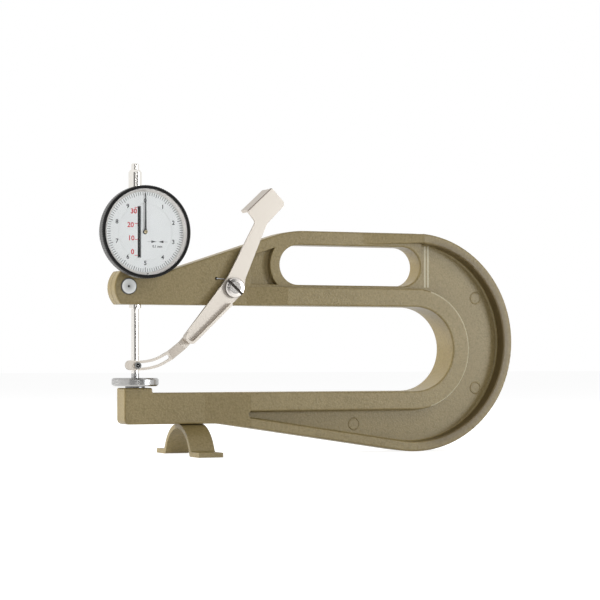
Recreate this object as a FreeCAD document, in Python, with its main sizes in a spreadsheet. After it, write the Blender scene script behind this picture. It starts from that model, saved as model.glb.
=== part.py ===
import FreeCAD, Part
import math
import os
import re
import Sketcher
from FreeCAD import Vector

# Bench thickness gauge with a dial, a deep bow frame and a thumb lever.
# X runs from the measuring spindle to the bow, -Y is the dial side, Z is up.
# The outlines are drawn with the spindle axis at X = 0. Every piece is then placed
# so that the origin lies on the table, in the middle of the whole instrument.

SIZES = {
    # Frame casting
    "bow_centre_x": 192.5, "bow_radius": 72.8, "throat_radius": 28.1, "throat_z": 68.3,
    "rib_width": 12.2, "rib_thickness": 25.6, "rim_width": 6.5, "web_thickness": 7.0,
    "arm_thickness": 16.4, "casting_edge": 1.2,
    "arm_tip_x": -9.7, "arm_bottom_z": 20.2, "arm_flat_end_x": 54.0,
    "platform_end_x": 9.0, "platform_rise": 3.2,
    "nose_tip_x": -16.2, "nose_corner_x": -12.0, "nose_top_z": 117.6,
    "slope_start_x": 18.8, "slope_end_x": 103.6, "slope_blend": 65.0,
    "lower_ramp_start_x": 44.4, "lower_ramp_end_x": 74.4,
    "upper_ramp_start_x": 73.4, "upper_ramp_end_x": 100.2,
    "handle_end_x": 199.0, "hole_left_x": 96.5, "hole_right_x": 198.0,
    "hole_margin": 1.6, "handle_bar": 9.3, "hole_land": 7.0,
    "upper_pocket_x": 76.0, "upper_rim_width": 7.5, "web_blend": 3.5,
    # Dial gauge: stem, spindle and contacts
    "dial_z": 141.6, "stem_radius": 4.0, "stem_drop": 2.6, "running_gap": 0.05,
    "spindle_radius": 2.5, "spindle_foot_z": 52.6, "spindle_tip": 4.1,
    "travel": 30.0, "stud_radius": 1.25, "stud_length": 4.0,
    "contact_radius": 15.0, "contact_edge": 1.0, "contact_height": 5.2,
    "anvil_radius": 6.35, "anvil_height": 1.1, "anvil_pin_radius": 3.0, "anvil_pin_length": 10.0,
    "sleeve_radius": 4.3, "sleeve_height": 16.6, "sleeve_chamfer": 1.6,
    # Case, bezel and dial, measured forward of the spindle axis
    "case_radius": 23.9, "case_wall": 1.8, "case_back": 4.5, "case_back_round": 3.5,
    "cover_radius": 20.2, "cover_thickness": 1.5, "cover_screw_radius": 1.3,
    "front_wall_back": 17.4, "front_wall_front": 19.2, "flange_radius": 26.2,
    "bezel_radius": 29.0, "bezel_front": 24.0, "bezel_back": 15.9, "bezel_lip": 1.85, "part_gap": 0.3,
    "dial_front": 20.0, "dial_radius": 17.6, "scale_thickness": 0.5, "scale_radius": 26.2,
    "crystal_radius": 27.7, "crystal_thickness": 0.9, "crystal_front": 23.3,
    "wire_radius": 0.3, "bezel_wire_depth": 0.85,
    "slot_x": 4.0, "slot_width": 1.6, "slot_half_length": 16.1,
    # Movement
    "plate_half_width": 9.3, "plate_bottom_z": 122.4, "plate_top_z": 160.8, "plate_thickness": 1.2,
    "back_plate_front": 4.4, "front_plate_front": 10.2, "pillar_x": 8.0, "pillar_radius": 1.3,
    "pillar_margin": 1.4, "movement_screw_radius": 0.7, "screw_head_radius": 1.3, "screw_head_height": 0.9,
    "pinion_teeth": 16.0, "rack_depth": 0.4, "pinion_half_width": 1.2, "rack_land": 0.6,
    "gear_teeth": 40.0, "gear_module": 0.3, "gear_back": 6.0, "gear_thickness": 0.9, "arbor_radius": 0.6,
    "carrier_z": 126.8, "carrier_thickness": 1.2, "carrier_height": 1.2, "carrier_reach": 11.0,
    "guide_x": 10.8, "guide_pin_radius": 0.6, "spring_x": 6.1, "spring_arm_rise": 2.0,
    "spring_post_z": 122.9, "spring_coil_radius": 1.2, "spring_wire_radius": 0.2, "spring_turns": 8.0,
    "rail_outer_x": 13.2, "rail_bottom_z": 124.3, "rail_top_z": 158.9,
    "pointer_length": 24.6, "pointer_tail": 0.9, "pointer_half_width": 0.5, "pointer_level": 20.8, "hub_radius": 1.1,
    # Lifting lever
    "pivot_x": 62.5, "pivot_z": 107.5, "lever_back": 11.0, "lever_thickness": 2.0, "hub_round": 7.0,
    "shoulder_radius": 3.0, "pivot_thread_radius": 2.5, "pivot_head_radius": 6.5, "pivot_head_height": 3.0,
    "lip_depth": 12.0, "lever_flange_depth": 3.6, "lever_flange_wall": 1.6,
    "strip_width": 6.2, "strip_slot": 2.9, "strip_thickness": 1.5, "strip_back": 3.3, "strip_lead": 3.8,
    "lift_pin_z": 57.6, "lift_pin_radius": 1.15, "lift_pin_head": 2.2, "lever_rate": 62.5,
    "spring_hole_x": 52.2, "spring_hole_z": 113.5, "lever_spring_wire": 0.35,
    # Clamp screw and foot
    "clamp_x": -6.9, "clamp_rise": 0.8, "clamp_head_radius": 5.1, "clamp_head_height": 2.0, "clamp_thread_radius": 2.0, "clamp_recess": 1.2,
    "slit_width": 0.5,
    "foot_x": 36.55, "foot_width": 16.3, "foot_radius": 27.0, "foot_thickness": 3.0, "foot_half_length": 40.0,
    "foot_bend": 2.0, "foot_screw_radius": 2.0, "foot_screw_head": 3.5, "foot_screw_length": 10.0,
}

doc = FreeCAD.newDocument("thickness_gauge")
sheet = doc.addObject("Spreadsheet::Sheet", "Sizes")
for row, (alias, number) in enumerate(SIZES.items(), start=1):
    sheet.set("A%d" % row, alias)
    sheet.set("B%d" % row, str(number))
    sheet.setAlias("B%d" % row, alias)
doc.recompute()

# Lines and places that several pieces share, as expressions on the sheet
THROAT_TOP = "(throat_z + throat_radius)"
THROAT_BOTTOM = "(throat_z - throat_radius)"
PLATFORM_TOP = "(throat_z - throat_radius + platform_rise)"
ANVIL_TOP = "(throat_z - throat_radius + platform_rise + anvil_height)"
FRAME_TOP = "(2 * bow_radius)"
FRAME_RIGHT = "(bow_centre_x + bow_radius)"
RIB_TOP = "(throat_z + throat_radius + rib_width)"
RIB_BOTTOM = "(throat_z - throat_radius - rib_width)"
HOLE_BOTTOM = "(throat_z + throat_radius + rib_width + hole_margin)"
HOLE_HEIGHT = "(2 * bow_radius - handle_bar - throat_z - throat_radius - rib_width - hole_margin)"
NOSE_MIDDLE = "((nose_top_z + throat_z + throat_radius) / 2)"
CLAMP_Z = "((nose_top_z + throat_z + throat_radius) / 2 + clamp_rise)"
MIDDLE_X = "((bow_centre_x + bow_radius - bezel_radius) / 2)"
SLEEVE_TOP = "(dial_z + case_radius + sleeve_height)"
BEZEL_BORE = "(flange_radius + part_gap)"


def bound(expression):
    """Write an expression on the size names as one on the sheet's cells."""
    return re.sub(r"[a-z][a-z_]+", lambda word: "Sizes." + word[0] if word[0] in SIZES else word[0],
                  str(expression))


def value(expression):
    return float(sheet.evalExpression(bound(expression)))


def make_body(label):
    body = doc.addObject("PartDesign::Body", label)
    body.Label = label
    body.setExpression("Placement.Base.x", bound("-" + MIDDLE_X))
    return body


def make_sketch(body, role, level="0", across="0", up="0"):
    """A sketch on one of the body's own planes, moved along the plane's normal and within it."""
    sketch = body.newObject("Sketcher::SketchObject", body.Label + "_sketch")
    plane = [item for item in body.Origin.OriginFeatures if item.Role == role][0]
    sketch.AttachmentSupport = [(plane, "")]
    sketch.MapMode = "FlatFace"
    sketch.setExpression("AttachmentOffset.Base.x", bound(across))
    sketch.setExpression("AttachmentOffset.Base.y", bound(up))
    sketch.setExpression("AttachmentOffset.Base.z", bound(level))
    return sketch


def hold_point(sketch, geometry, point, x, y):
    for kind, expression in (("DistanceX", x), ("DistanceY", y)):
        index = sketch.addConstraint(Sketcher.Constraint(kind, -1, 1, geometry, point, value(expression)))
        sketch.setExpression("Constraints[%d]" % index, bound(expression))


def add_circle(sketch, x, y, radius):
    circle = Part.Circle(Vector(value(x), value(y), 0), Vector(0, 0, 1), value(radius))
    geometry = sketch.addGeometry(circle)
    index = sketch.addConstraint(Sketcher.Constraint("Radius", geometry, value(radius)))
    sketch.setExpression("Constraints[%d]" % index, bound(radius))
    hold_point(sketch, geometry, 3, x, y)


def add_polygon(sketch, points):
    """A closed polygon whose every corner is held by two expressions."""
    places = [Vector(value(x), value(y), 0) for x, y in points]
    first = sketch.GeometryCount
    count = len(places)
    for number in range(count):
        sketch.addGeometry(Part.LineSegment(places[number], places[(number + 1) % count]))
    for number in range(count):
        following = first + (number + 1) % count
        sketch.addConstraint(Sketcher.Constraint("Coincident", first + number, 2, following, 1))
        hold_point(sketch, first + number, 1, *points[number])


def add_rectangle(sketch, left, bottom, right, top):
    add_polygon(sketch, [(left, bottom), (right, bottom), (right, top), (left, top)])


def rounded_edges(corners):
    """Lines and tangent arcs through corners, each given as x, y and its radius."""
    places = [Vector(value(x), value(y), 0) for x, y, radius in corners]
    radii = [value(radius) for x, y, radius in corners]
    starts, ends, arcs = [], [], []
    for number, corner in enumerate(places):
        before = (places[number - 1] - corner).normalize()
        after = (places[(number + 1) % len(places)] - corner).normalize()
        half = before.getAngle(after) / 2
        reach = radii[number] / math.tan(half)
        starts.append(corner + before * reach)
        ends.append(corner + after * reach)
        centre_way = (before + after).normalize()
        middle = corner + centre_way * (radii[number] / math.sin(half) - radii[number])
        arcs.append(middle)
    edges = []
    for number in range(len(places)):
        if radii[number] > 0:
            edges.append(Part.Arc(starts[number], arcs[number], ends[number]))
        following = starts[(number + 1) % len(places)]
        if (following - ends[number]).Length > 1e-6:
            edges.append(Part.LineSegment(ends[number], following))
    return edges


def add_outline(sketch, corners):
    sketch.addGeometry(rounded_edges(corners))


def pad(body, sketch, length, both_ways=False, reverse=False):
    feature = body.newObject("PartDesign::Pad", body.Label + "_pad")
    feature.Profile = sketch
    feature.SideType = "Symmetric" if both_ways else "One side"
    feature.Reversed = reverse
    feature.setExpression("Length", bound(length))
    doc.recompute()
    return feature


def pocket(body, sketch, length=None, reverse=False):
    """Cut along the plane's normal, through everything when no length is given."""
    before = body.Shape.Volume
    feature = body.newObject("PartDesign::Pocket", body.Label + "_pocket")
    feature.Profile = sketch
    feature.Reversed = reverse
    if length is None:
        feature.Type = "ThroughAll"
        feature.SideType = "Symmetric"
    else:
        feature.setExpression("Length", bound(length))
    doc.recompute()
    if body.Shape.Volume >= before - 1e-3:
        raise ValueError(body.Label + ": a pocket cut nothing")
    return feature


def revolve(body, sketch):
    feature = body.newObject("PartDesign::Revolution", body.Label + "_revolution")
    feature.Profile = sketch
    feature.ReferenceAxis = (sketch, ["V_Axis"])
    feature.Angle = 360
    doc.recompute()
    return feature


def break_edges(body, kind, size, chosen):
    """Fillet or chamfer the edges of the body that the test picks."""
    tip = body.Tip
    names = ["Edge%d" % (number + 1) for number, edge in enumerate(tip.Shape.Edges) if chosen(edge)]
    feature = body.newObject("PartDesign::" + kind, body.Label + "_" + kind.lower())
    feature.Base = (tip, names)
    feature.setExpression("Radius" if kind == "Fillet" else "Size", bound(size))
    doc.recompute()
    return feature


def in_plane(edge, axis, level):
    low = getattr(edge.BoundBox, axis + "Min")
    high = getattr(edge.BoundBox, axis + "Max")
    return abs(low - level) < 1e-4 and abs(high - level) < 1e-4


def bow_outline():
    """The casting seen from the side: bow, throat, both arms, nose and sloping top."""
    rise = value("bow_radius - arm_bottom_z")
    run = value("bow_centre_x - arm_flat_end_x")
    slope = math.atan2(rise, run) - math.asin(value("bow_radius") / math.hypot(rise, run))
    low_corner = value("arm_bottom_z") + math.tan(slope) * (value(FRAME_RIGHT) - value("arm_flat_end_x"))
    half = value("(nose_top_z - throat_z - throat_radius) / 2")
    bulge = value("nose_corner_x - nose_tip_x")
    nose_radius = (half ** 2 + bulge ** 2) / (2 * bulge)
    nose_apex = value("nose_corner_x") - half * math.tan(math.asin(half / nose_radius))
    corners = [
        ("nose_corner_x", "nose_top_z", 0), ("slope_start_x", "nose_top_z", "bow_radius / 9"),
        ("slope_end_x", FRAME_TOP, "slope_blend"), (FRAME_RIGHT, FRAME_TOP, "bow_radius"),
        (FRAME_RIGHT, low_corner, "bow_radius"), ("arm_flat_end_x", "arm_bottom_z", "arm_thickness"),
        ("arm_tip_x", "arm_bottom_z", "platform_rise"), ("arm_tip_x", PLATFORM_TOP, "anvil_height"),
        ("platform_end_x", PLATFORM_TOP, "anvil_height"), ("platform_end_x", THROAT_BOTTOM, "anvil_height"),
        ("bow_centre_x + throat_radius", THROAT_BOTTOM, "throat_radius"),
        ("bow_centre_x + throat_radius", THROAT_TOP, "throat_radius"), ("nose_corner_x", THROAT_TOP, 0),
    ]
    return corners + [(nose_apex, NOSE_MIDDLE, nose_radius)], slope


def circle_crossing(centre_x, centre_z, radius, x, upper=True):
    """Height at which a circle passes a given x."""
    depth = math.sqrt(radius ** 2 - (x - centre_x) ** 2)
    return centre_z + (depth if upper else -depth)


def web_outline(slope):
    """The thin web between the rib round the throat and the rim of the bow."""
    bow_x, bow_z = value("bow_centre_x"), value("bow_radius")
    rim = value("bow_radius - rim_width")
    rib = value("throat_radius + rib_width")
    throat_z = value("throat_z")
    left = value("handle_end_x")
    rim_foot = Vector(bow_x + rim * math.sin(slope), bow_z - rim * math.cos(slope), 0)
    rib_bottom = value(RIB_BOTTOM)
    upper_rib = Vector(left, circle_crossing(bow_x, throat_z, rib, left), 0)
    upper_rim = Vector(left, circle_crossing(bow_x, bow_z, rim, left), 0)
    rib_foot = Vector(bow_x, rib_bottom, 0)
    tip_x = value("lower_ramp_end_x")
    tip_low = Vector(tip_x, rim_foot.y + math.tan(slope) * (tip_x - rim_foot.x), 0)
    tip_high = Vector(tip_x, rib_bottom, 0)
    tip_radius = (tip_high.y - tip_low.y) / 2
    tip_middle = Vector(tip_x - tip_radius * 0.8, (tip_high.y + tip_low.y) / 2, 0)
    return [
        Part.LineSegment(upper_rib, upper_rim),
        Part.Arc(upper_rim, Vector(bow_x + rim, bow_z, 0), rim_foot),
        Part.LineSegment(rim_foot, tip_low),
        Part.Arc(tip_low, tip_middle, tip_high),
        Part.LineSegment(tip_high, rib_foot),
        Part.Arc(rib_foot, Vector(bow_x + rib, throat_z, 0), upper_rib),
    ]


def upper_pocket_outline():
    """The pocket behind the lever, which ends in a curve round the handle hole."""
    top_slope = math.atan2(value(FRAME_TOP) - value("nose_top_z"), value("slope_end_x - slope_start_x"))
    drop = value("upper_rim_width") / math.cos(top_slope)
    centre_x = value("hole_left_x + %s / 2" % HOLE_HEIGHT)
    centre_z = value("%s + %s / 2" % (HOLE_BOTTOM, HOLE_HEIGHT))
    land = value("%s / 2 + hole_land" % HOLE_HEIGHT)
    low_z = value(HOLE_BOTTOM)
    left = value("upper_pocket_x")

    def top_line(x):
        return value("nose_top_z") + math.tan(top_slope) * (x - value("slope_start_x")) - drop

    offset = top_line(centre_x) - centre_z
    reach = math.cos(top_slope) * offset
    foot = centre_x - offset * math.sin(top_slope) * math.cos(top_slope)
    high_x = foot - math.sqrt(land ** 2 - reach ** 2) * math.cos(top_slope)
    low_x = centre_x - math.sqrt(land ** 2 - (centre_z - low_z) ** 2)
    middle_way = (Vector(high_x, top_line(high_x), 0) + Vector(low_x, low_z, 0)) / 2 - Vector(centre_x, centre_z, 0)
    middle = Vector(centre_x, centre_z, 0) + middle_way.normalize() * land
    low_left = Vector(left, low_z, 0)
    high_left = Vector(left, top_line(left), 0)
    high_right = Vector(high_x, top_line(high_x), 0)
    low_right = Vector(low_x, low_z, 0)
    return [
        Part.LineSegment(low_left, high_left),
        Part.LineSegment(high_left, high_right),
        Part.Arc(high_right, middle, low_right),
        Part.LineSegment(low_right, low_left),
    ]


def cut_both_faces(body, level, draw, taper=0):
    """Cut a side-view shape from a level outwards, on the dial side and the same behind."""
    for side in (1, -1):
        sketch = make_sketch(body, "XZ_Plane", "%d * (%s)" % (side, level))
        draw(sketch)
        feature = pocket(body, sketch, "rib_thickness", reverse=side > 0)
        if taper:
            feature.TaperAngle = taper
            doc.recompute()


def thin_arm(body, start_x, end_x, upwards):
    """Narrow an arm to its slim end, with a ramp up to the full rib thickness."""
    for side in (1, -1):
        slim, full = "%d * arm_thickness / 2" % side, "%d * rib_thickness / 2" % side
        clear = "%d * rib_thickness" % side
        sketch = make_sketch(body, "XY_Plane", "throat_z")
        add_polygon(sketch, [("nose_tip_x * 2", clear), ("nose_tip_x * 2", slim), (start_x, slim),
                             (end_x, full), (end_x, clear)])
        pocket(body, sketch, "bow_radius * 2", reverse=upwards)


def make_frame():
    body = make_body("frame")
    corners, slope = bow_outline()
    side_view = make_sketch(body, "XZ_Plane")
    add_outline(side_view, corners)
    pad(body, side_view, "rib_thickness", both_ways=True)
    thin_arm(body, "lower_ramp_start_x", "lower_ramp_end_x", upwards=False)
    thin_arm(body, "upper_ramp_start_x", "upper_ramp_end_x", upwards=True)
    cut_both_faces(body, "arm_thickness / 2",
                   lambda sketch: add_rectangle(sketch, "upper_ramp_start_x", RIB_TOP, "handle_end_x",
                                                FRAME_TOP + " + rim_width"))
    cut_both_faces(body, "web_thickness / 2", lambda sketch: sketch.addGeometry(web_outline(slope)))
    cut_both_faces(body, "web_thickness / 2", lambda sketch: sketch.addGeometry(upper_pocket_outline()))
    hole = make_sketch(body, "XZ_Plane")
    hole_top = "%s + %s" % (HOLE_BOTTOM, HOLE_HEIGHT)
    hole_round = HOLE_HEIGHT + " / 2"
    add_outline(hole, [("hole_left_x", HOLE_BOTTOM, hole_round), ("hole_right_x", HOLE_BOTTOM, hole_round),
                       ("hole_right_x", hole_top, hole_round), ("hole_left_x", hole_top, hole_round)])
    pocket(body, hole)
    drill_frame(body)
    return body


def drill_frame(body):
    """Stem bore and its clamping slit, screw holes, anvil seat and the hole for the spring's leg."""
    nose = "nose_top_z - throat_z"
    bore = make_sketch(body, "XY_Plane", "throat_z")
    add_circle(bore, 0, 0, "stem_radius")
    pocket(body, bore, nose, reverse=True)
    slit = make_sketch(body, "XY_Plane", "throat_z")
    add_rectangle(slit, "nose_tip_x * 2", "-slit_width / 2", "-stem_radius / 2", "slit_width / 2")
    pocket(body, slit, nose, reverse=True)
    for x, z, radius in (("clamp_x", CLAMP_Z, "clamp_thread_radius"),
                         ("pivot_x", "pivot_z", "pivot_thread_radius")):
        through = make_sketch(body, "XZ_Plane")
        add_circle(through, x, z, radius)
        pocket(body, through)
    recess = make_sketch(body, "XZ_Plane", "arm_thickness / 2 - clamp_recess")
    add_circle(recess, "clamp_x", CLAMP_Z, "clamp_head_radius + part_gap")
    pocket(body, recess, "arm_thickness", reverse=True)
    spring_hole = make_sketch(body, "XZ_Plane", "arm_thickness / 4")
    add_circle(spring_hole, "spring_hole_x", "spring_hole_z", "lever_spring_wire * 3")
    pocket(body, spring_hole, "arm_thickness", reverse=True)
    foot_hole = make_sketch(body, "XY_Plane", "arm_bottom_z + foot_screw_length")
    add_circle(foot_hole, "foot_x", 0, "foot_screw_radius")
    pocket(body, foot_hole, "bow_radius")
    anvil_hole = make_sketch(body, "XY_Plane", PLATFORM_TOP + " - anvil_pin_length")
    add_circle(anvil_hole, 0, 0, "anvil_pin_radius")
    pocket(body, anvil_hole, "throat_radius", reverse=True)


frame = make_frame()


def middle_of(edge):
    return edge.valueAt((edge.FirstParameter + edge.LastParameter) / 2)


def soften_casting(body):
    """Round the casting's edges one group at a time, as blasting and paint leave them."""
    rib, arm, web = (value(name + " / 2") for name in ("rib_thickness", "arm_thickness", "web_thickness"))
    nose_top, ramp, throat_z = value("nose_top_z"), value("lower_ramp_start_x"), value("throat_z")
    step_x, hole_left, pocket_left = value("handle_end_x"), value("hole_left_x"), value("upper_pocket_x")
    bow_x, ramp_end, rib_reach = value("bow_centre_x"), value("lower_ramp_end_x"), value("throat_radius + rib_width")
    throat_top, hole_low = value(THROAT_TOP), value(HOLE_BOTTOM)
    hole_high = hole_low + value(HOLE_HEIGHT)

    def on_faces(edge, level):
        return in_plane(edge, "Y", level) or in_plane(edge, "Y", -level)

    def on_rib(edge):
        place = middle_of(edge)
        near = abs(place.z - throat_z) < rib_reach + 0.1 and place.x < bow_x + rib_reach + 0.1
        return on_faces(edge, rib) and near

    def on_rim(edge):
        place = middle_of(edge)
        across = abs(place.x - step_x) < 0.5 or abs(place.x - ramp_end) < 0.5
        return on_faces(edge, rib) and not on_rib(edge) and not across

    def on_hole(edge):
        place = middle_of(edge)
        within = hole_low - 0.1 < place.z < hole_high + 0.1 and place.x > hole_left - 0.1
        return on_faces(edge, arm) and within and abs(place.x - step_x) > 0.1

    def on_top(edge):
        place = middle_of(edge)
        on_slope = place.z > nose_top - 0.1 and place.x < pocket_left - 6
        on_handle = place.z > hole_high + 0.1 and place.x < step_x - 1
        return on_faces(edge, arm) and not edge.isClosed() and (on_slope or on_handle)

    def on_nose(edge):
        place = middle_of(edge)
        under = throat_z < place.z < nose_top - 0.5 and place.x < pocket_left - 6
        return on_faces(edge, arm) and not edge.isClosed() and under

    def on_nose_arc(edge):
        return on_nose(edge) and edge.Curve.TypeId == "Part::GeomCircle"

    def on_under(edge):
        return on_nose(edge) and middle_of(edge).z < throat_top + 0.1

    def on_lower_arm(edge):
        place = middle_of(edge)
        return on_faces(edge, arm) and place.z < throat_z and place.x < ramp - 0.1 and edge.Length > 0.5

    def on_pocket(edge):
        place = middle_of(edge)
        return on_faces(edge, arm) and place.z > hole_low - 0.1 and pocket_left - 0.1 < place.x < hole_left

    def on_lower_floor(edge):
        place = middle_of(edge)
        return on_faces(edge, web) and (place.x > step_x + 1 or place.z < throat_z)

    for edges in (on_rim, on_rib, on_under, on_nose_arc, on_hole, on_top, on_lower_arm):
        break_edges(body, "Fillet", "casting_edge", edges)
    break_edges(body, "Fillet", "casting_edge / 2", on_pocket)
    break_edges(body, "Fillet", "casting_edge", on_lower_floor)


def turned(label, axis, outlines, cuts=()):
    """A turned piece. Its outline gives radius and place along one of the gauge's axes."""
    role, across, level = {
        "spindle": ("XZ_Plane", "0", "0"),
        "dial": ("XY_Plane", "0", "dial_z"),
        "pivot": ("XY_Plane", "pivot_x", "pivot_z"),
        "clamp": ("XY_Plane", "clamp_x", CLAMP_Z),
        "foot": ("XZ_Plane", "foot_x", "0"),
        "pinion": ("XY_Plane", PINION_X, PINION_Z),
    }[axis]
    body = make_body(label)
    for outline in outlines:
        sketch = make_sketch(body, role, level, across)
        if role == "XY_Plane":
            outline = [(radius, "-(%s)" % forward) for radius, forward in outline]
        add_polygon(sketch, outline)
        revolve(body, sketch)
    return body


def bar(low, high, inner, outer):
    """Outline of a ring or a rod between two levels."""
    return [(inner, low), (outer, low), (outer, high), (inner, high)]


def plate(label, role, level, thickness, draw, reverse=False):
    """A flat piece: one sketch padded from a level by its thickness."""
    body = make_body(label)
    sketch = make_sketch(body, role, level)
    draw(sketch)
    pad(body, sketch, thickness, reverse=reverse)
    return body


def box_on(body, role, level, thickness, left, bottom, right, top, reverse=False):
    sketch = make_sketch(body, role, level)
    add_rectangle(sketch, left, bottom, right, top)
    return pad(body, sketch, thickness, reverse=reverse)


def cylinders(label, back, front, places, outer, inner=None):
    """Several equal pins or sleeves that stand along the depth of the instrument, as one node."""
    parts = []
    for number, (x, z) in enumerate(places):
        names = [(outer, "pin")] + ([(inner, "bore")] if inner else [])
        made = []
        for radius, name in names:
            pin = doc.addObject("Part::Cylinder", "%s_%s_%d" % (label, name, number))
            pin.Placement = FreeCAD.Placement(Vector(0, 0, 0), FreeCAD.Rotation(Vector(1, 0, 0), 90))
            pin.setExpression("Radius", bound(radius))
            pin.setExpression("Height", bound("%s - (%s)" % (front, back)))
            pin.setExpression("Placement.Base.x", bound(x))
            pin.setExpression("Placement.Base.y", bound("-(%s)" % back))
            pin.setExpression("Placement.Base.z", bound(z))
            made.append(pin)
        if inner:
            sleeve = doc.addObject("Part::Cut", "%s_sleeve_%d" % (label, number))
            sleeve.Base, sleeve.Tool = made
            made = [sleeve]
        parts.append(made[0])
    return parts


def group(label, parts):
    """Several separate solids of one kind, kept together as one node."""
    node = doc.addObject("Part::Compound", label)
    node.Label = label
    node.Links = parts
    node.setExpression("Placement.Base.x", bound("-" + MIDDLE_X))
    return node


def raw_piece(label, shape):
    """A piece made directly as a shape, drawn like the others with the spindle axis at X = 0."""
    node = doc.addObject("Part::Feature", label)
    node.Label = label
    node.Shape = shape
    middle = FreeCAD.Placement(Vector(-value(MIDDLE_X), 0, 0), FreeCAD.Rotation())
    node.Placement = middle.multiply(shape.Placement)
    return node


# Rack and pinion: one turn of the pinion lifts the spindle by a third of its travel
TURN = "(travel / 3)"
PINION_RADIUS = "(travel / 3 / (2 * pi))"
PINION_X = "(-(spindle_radius - rack_land) - travel / 3 / (2 * pi))"
GEAR_RADIUS = "(gear_teeth * gear_module / 2)"
PINION_Z = ("(dial_z + sqrt((gear_teeth * gear_module) ^ 2"
            " - (spindle_radius - rack_land + travel / 3 / (2 * pi)) ^ 2))")


def tooth_ring(count, root, tip, root_half, tip_half, turn):
    """Corners of a toothed wheel. The half widths are angles, and one tooth points along turn."""
    corners = []
    for number in range(count):
        middle = turn + 2 * math.pi * number / count
        for radius, offset in ((root, -root_half), (tip, -tip_half), (tip, tip_half), (root, root_half)):
            angle = middle + offset
            corners.append(Vector(radius * math.cos(angle), radius * math.sin(angle), 0))
    return corners


def toothed_wheel(label, x, z, back, thickness, wheel, bore):
    """A gear cut from plate: the toothed outline with its bore, padded along the depth."""
    count, module, turn, pitch_radius = wheel
    body = make_body(label)
    sketch = make_sketch(body, "XZ_Plane", back)
    place = Vector(value(x), value(z), 0)
    step = 2 * math.pi / count
    corners = tooth_ring(count, pitch_radius - 1.25 * module, pitch_radius + module,
                         step * 0.30, step * 0.11, turn)
    corners = [corner + place for corner in corners]
    for number, corner in enumerate(corners):
        sketch.addGeometry(Part.LineSegment(corner, corners[(number + 1) % len(corners)]))
    if bore:
        add_circle(sketch, x, z, bore)
    pad(body, sketch, thickness)
    return body


def make_foot():
    """A strap bent into an arch, with a flange on each side that rests on the table."""
    body = make_body("foot")
    outer, wall = value("foot_radius"), value("foot_thickness")
    top, reach = value("arm_bottom_z"), value("foot_half_length")
    centre_z = top - outer
    inner = outer - wall
    outer_y = math.sqrt(outer ** 2 - (wall - centre_z) ** 2)
    inner_y = math.sqrt(inner ** 2 - centre_z ** 2)
    sketch = make_sketch(body, "YZ_Plane", "foot_x - foot_width / 2")
    crown, arch = Vector(0, top, 0), Vector(0, top - wall, 0)
    points = [Vector(y, z, 0) for y, z in ((outer_y, wall), (reach, wall), (reach, 0), (inner_y, 0))]
    mirrored = [Vector(-point.x, point.y, 0) for point in points]
    sketch.addGeometry([
        Part.Arc(mirrored[0], crown, points[0]),
        Part.LineSegment(points[0], points[1]), Part.LineSegment(points[1], points[2]),
        Part.LineSegment(points[2], points[3]), Part.Arc(points[3], arch, mirrored[3]),
        Part.LineSegment(mirrored[3], mirrored[2]), Part.LineSegment(mirrored[2], mirrored[1]),
        Part.LineSegment(mirrored[1], mirrored[0]),
    ])
    pad(body, sketch, "foot_width")

    def is_bend(edge):
        place = middle_of(edge)
        along = in_plane(edge, "Z", 0) or in_plane(edge, "Z", wall)
        return along and abs(place.y) < reach - 0.1 and edge.BoundBox.YLength < 1e-6

    break_edges(body, "Fillet", "foot_bend", is_bend)
    screw_hole = make_sketch(body, "XY_Plane", "arm_bottom_z / 2")
    add_circle(screw_hole, "foot_x", 0, "foot_screw_radius")
    pocket(body, screw_hole, "arm_bottom_z", reverse=True)
    return body


def make_foot_screw():
    seat = "(arm_bottom_z - foot_radius + sqrt((foot_radius - foot_thickness) ^ 2 - foot_screw_head ^ 2))"
    low = seat + " - foot_screw_head * 0.6"
    high = "arm_bottom_z + foot_screw_length - part_gap"
    body = turned("foot_screw", "foot", [[
        (0, low), ("foot_screw_head * 0.8", low), ("foot_screw_head", low + " + foot_screw_head * 0.2"),
        ("foot_screw_head", seat), ("foot_screw_radius", seat), ("foot_screw_radius", high), (0, high)]])
    socket = make_sketch(body, "XY_Plane", low)
    add_circle(socket, "foot_x", 0, "foot_screw_radius * 0.7")
    pocket(body, socket, "foot_screw_head * 0.35", reverse=True)
    return body


def make_anvil():
    """The lower contact: a hardened pin with a flat face, pressed into the platform."""
    low = PLATFORM_TOP + " - anvil_pin_length + part_gap"
    top = ANVIL_TOP
    return turned("anvil", "spindle", [[
        (0, low), ("anvil_pin_radius", low), ("anvil_pin_radius", PLATFORM_TOP),
        ("anvil_radius", PLATFORM_TOP), ("anvil_radius", top + " - anvil_height / 4"),
        ("anvil_radius - anvil_height / 4", top), (0, top)]])


def make_contact_disc():
    low = ANVIL_TOP
    rim = "contact_height + " + ANVIL_TOP
    edge = "contact_edge"
    return turned("contact_disc", "spindle", [[
        (0, low), ("contact_radius - contact_edge", low), ("contact_radius", "%s + %s" % (low, edge)),
        ("contact_radius", "%s - %s" % (rim, edge)), ("contact_radius - contact_edge", rim),
        ("spindle_radius", rim), ("spindle_radius", "spindle_foot_z"), ("stud_radius", "spindle_foot_z"),
        ("stud_radius", "spindle_foot_z + stud_length"), (0, "spindle_foot_z + stud_length")]])


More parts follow.
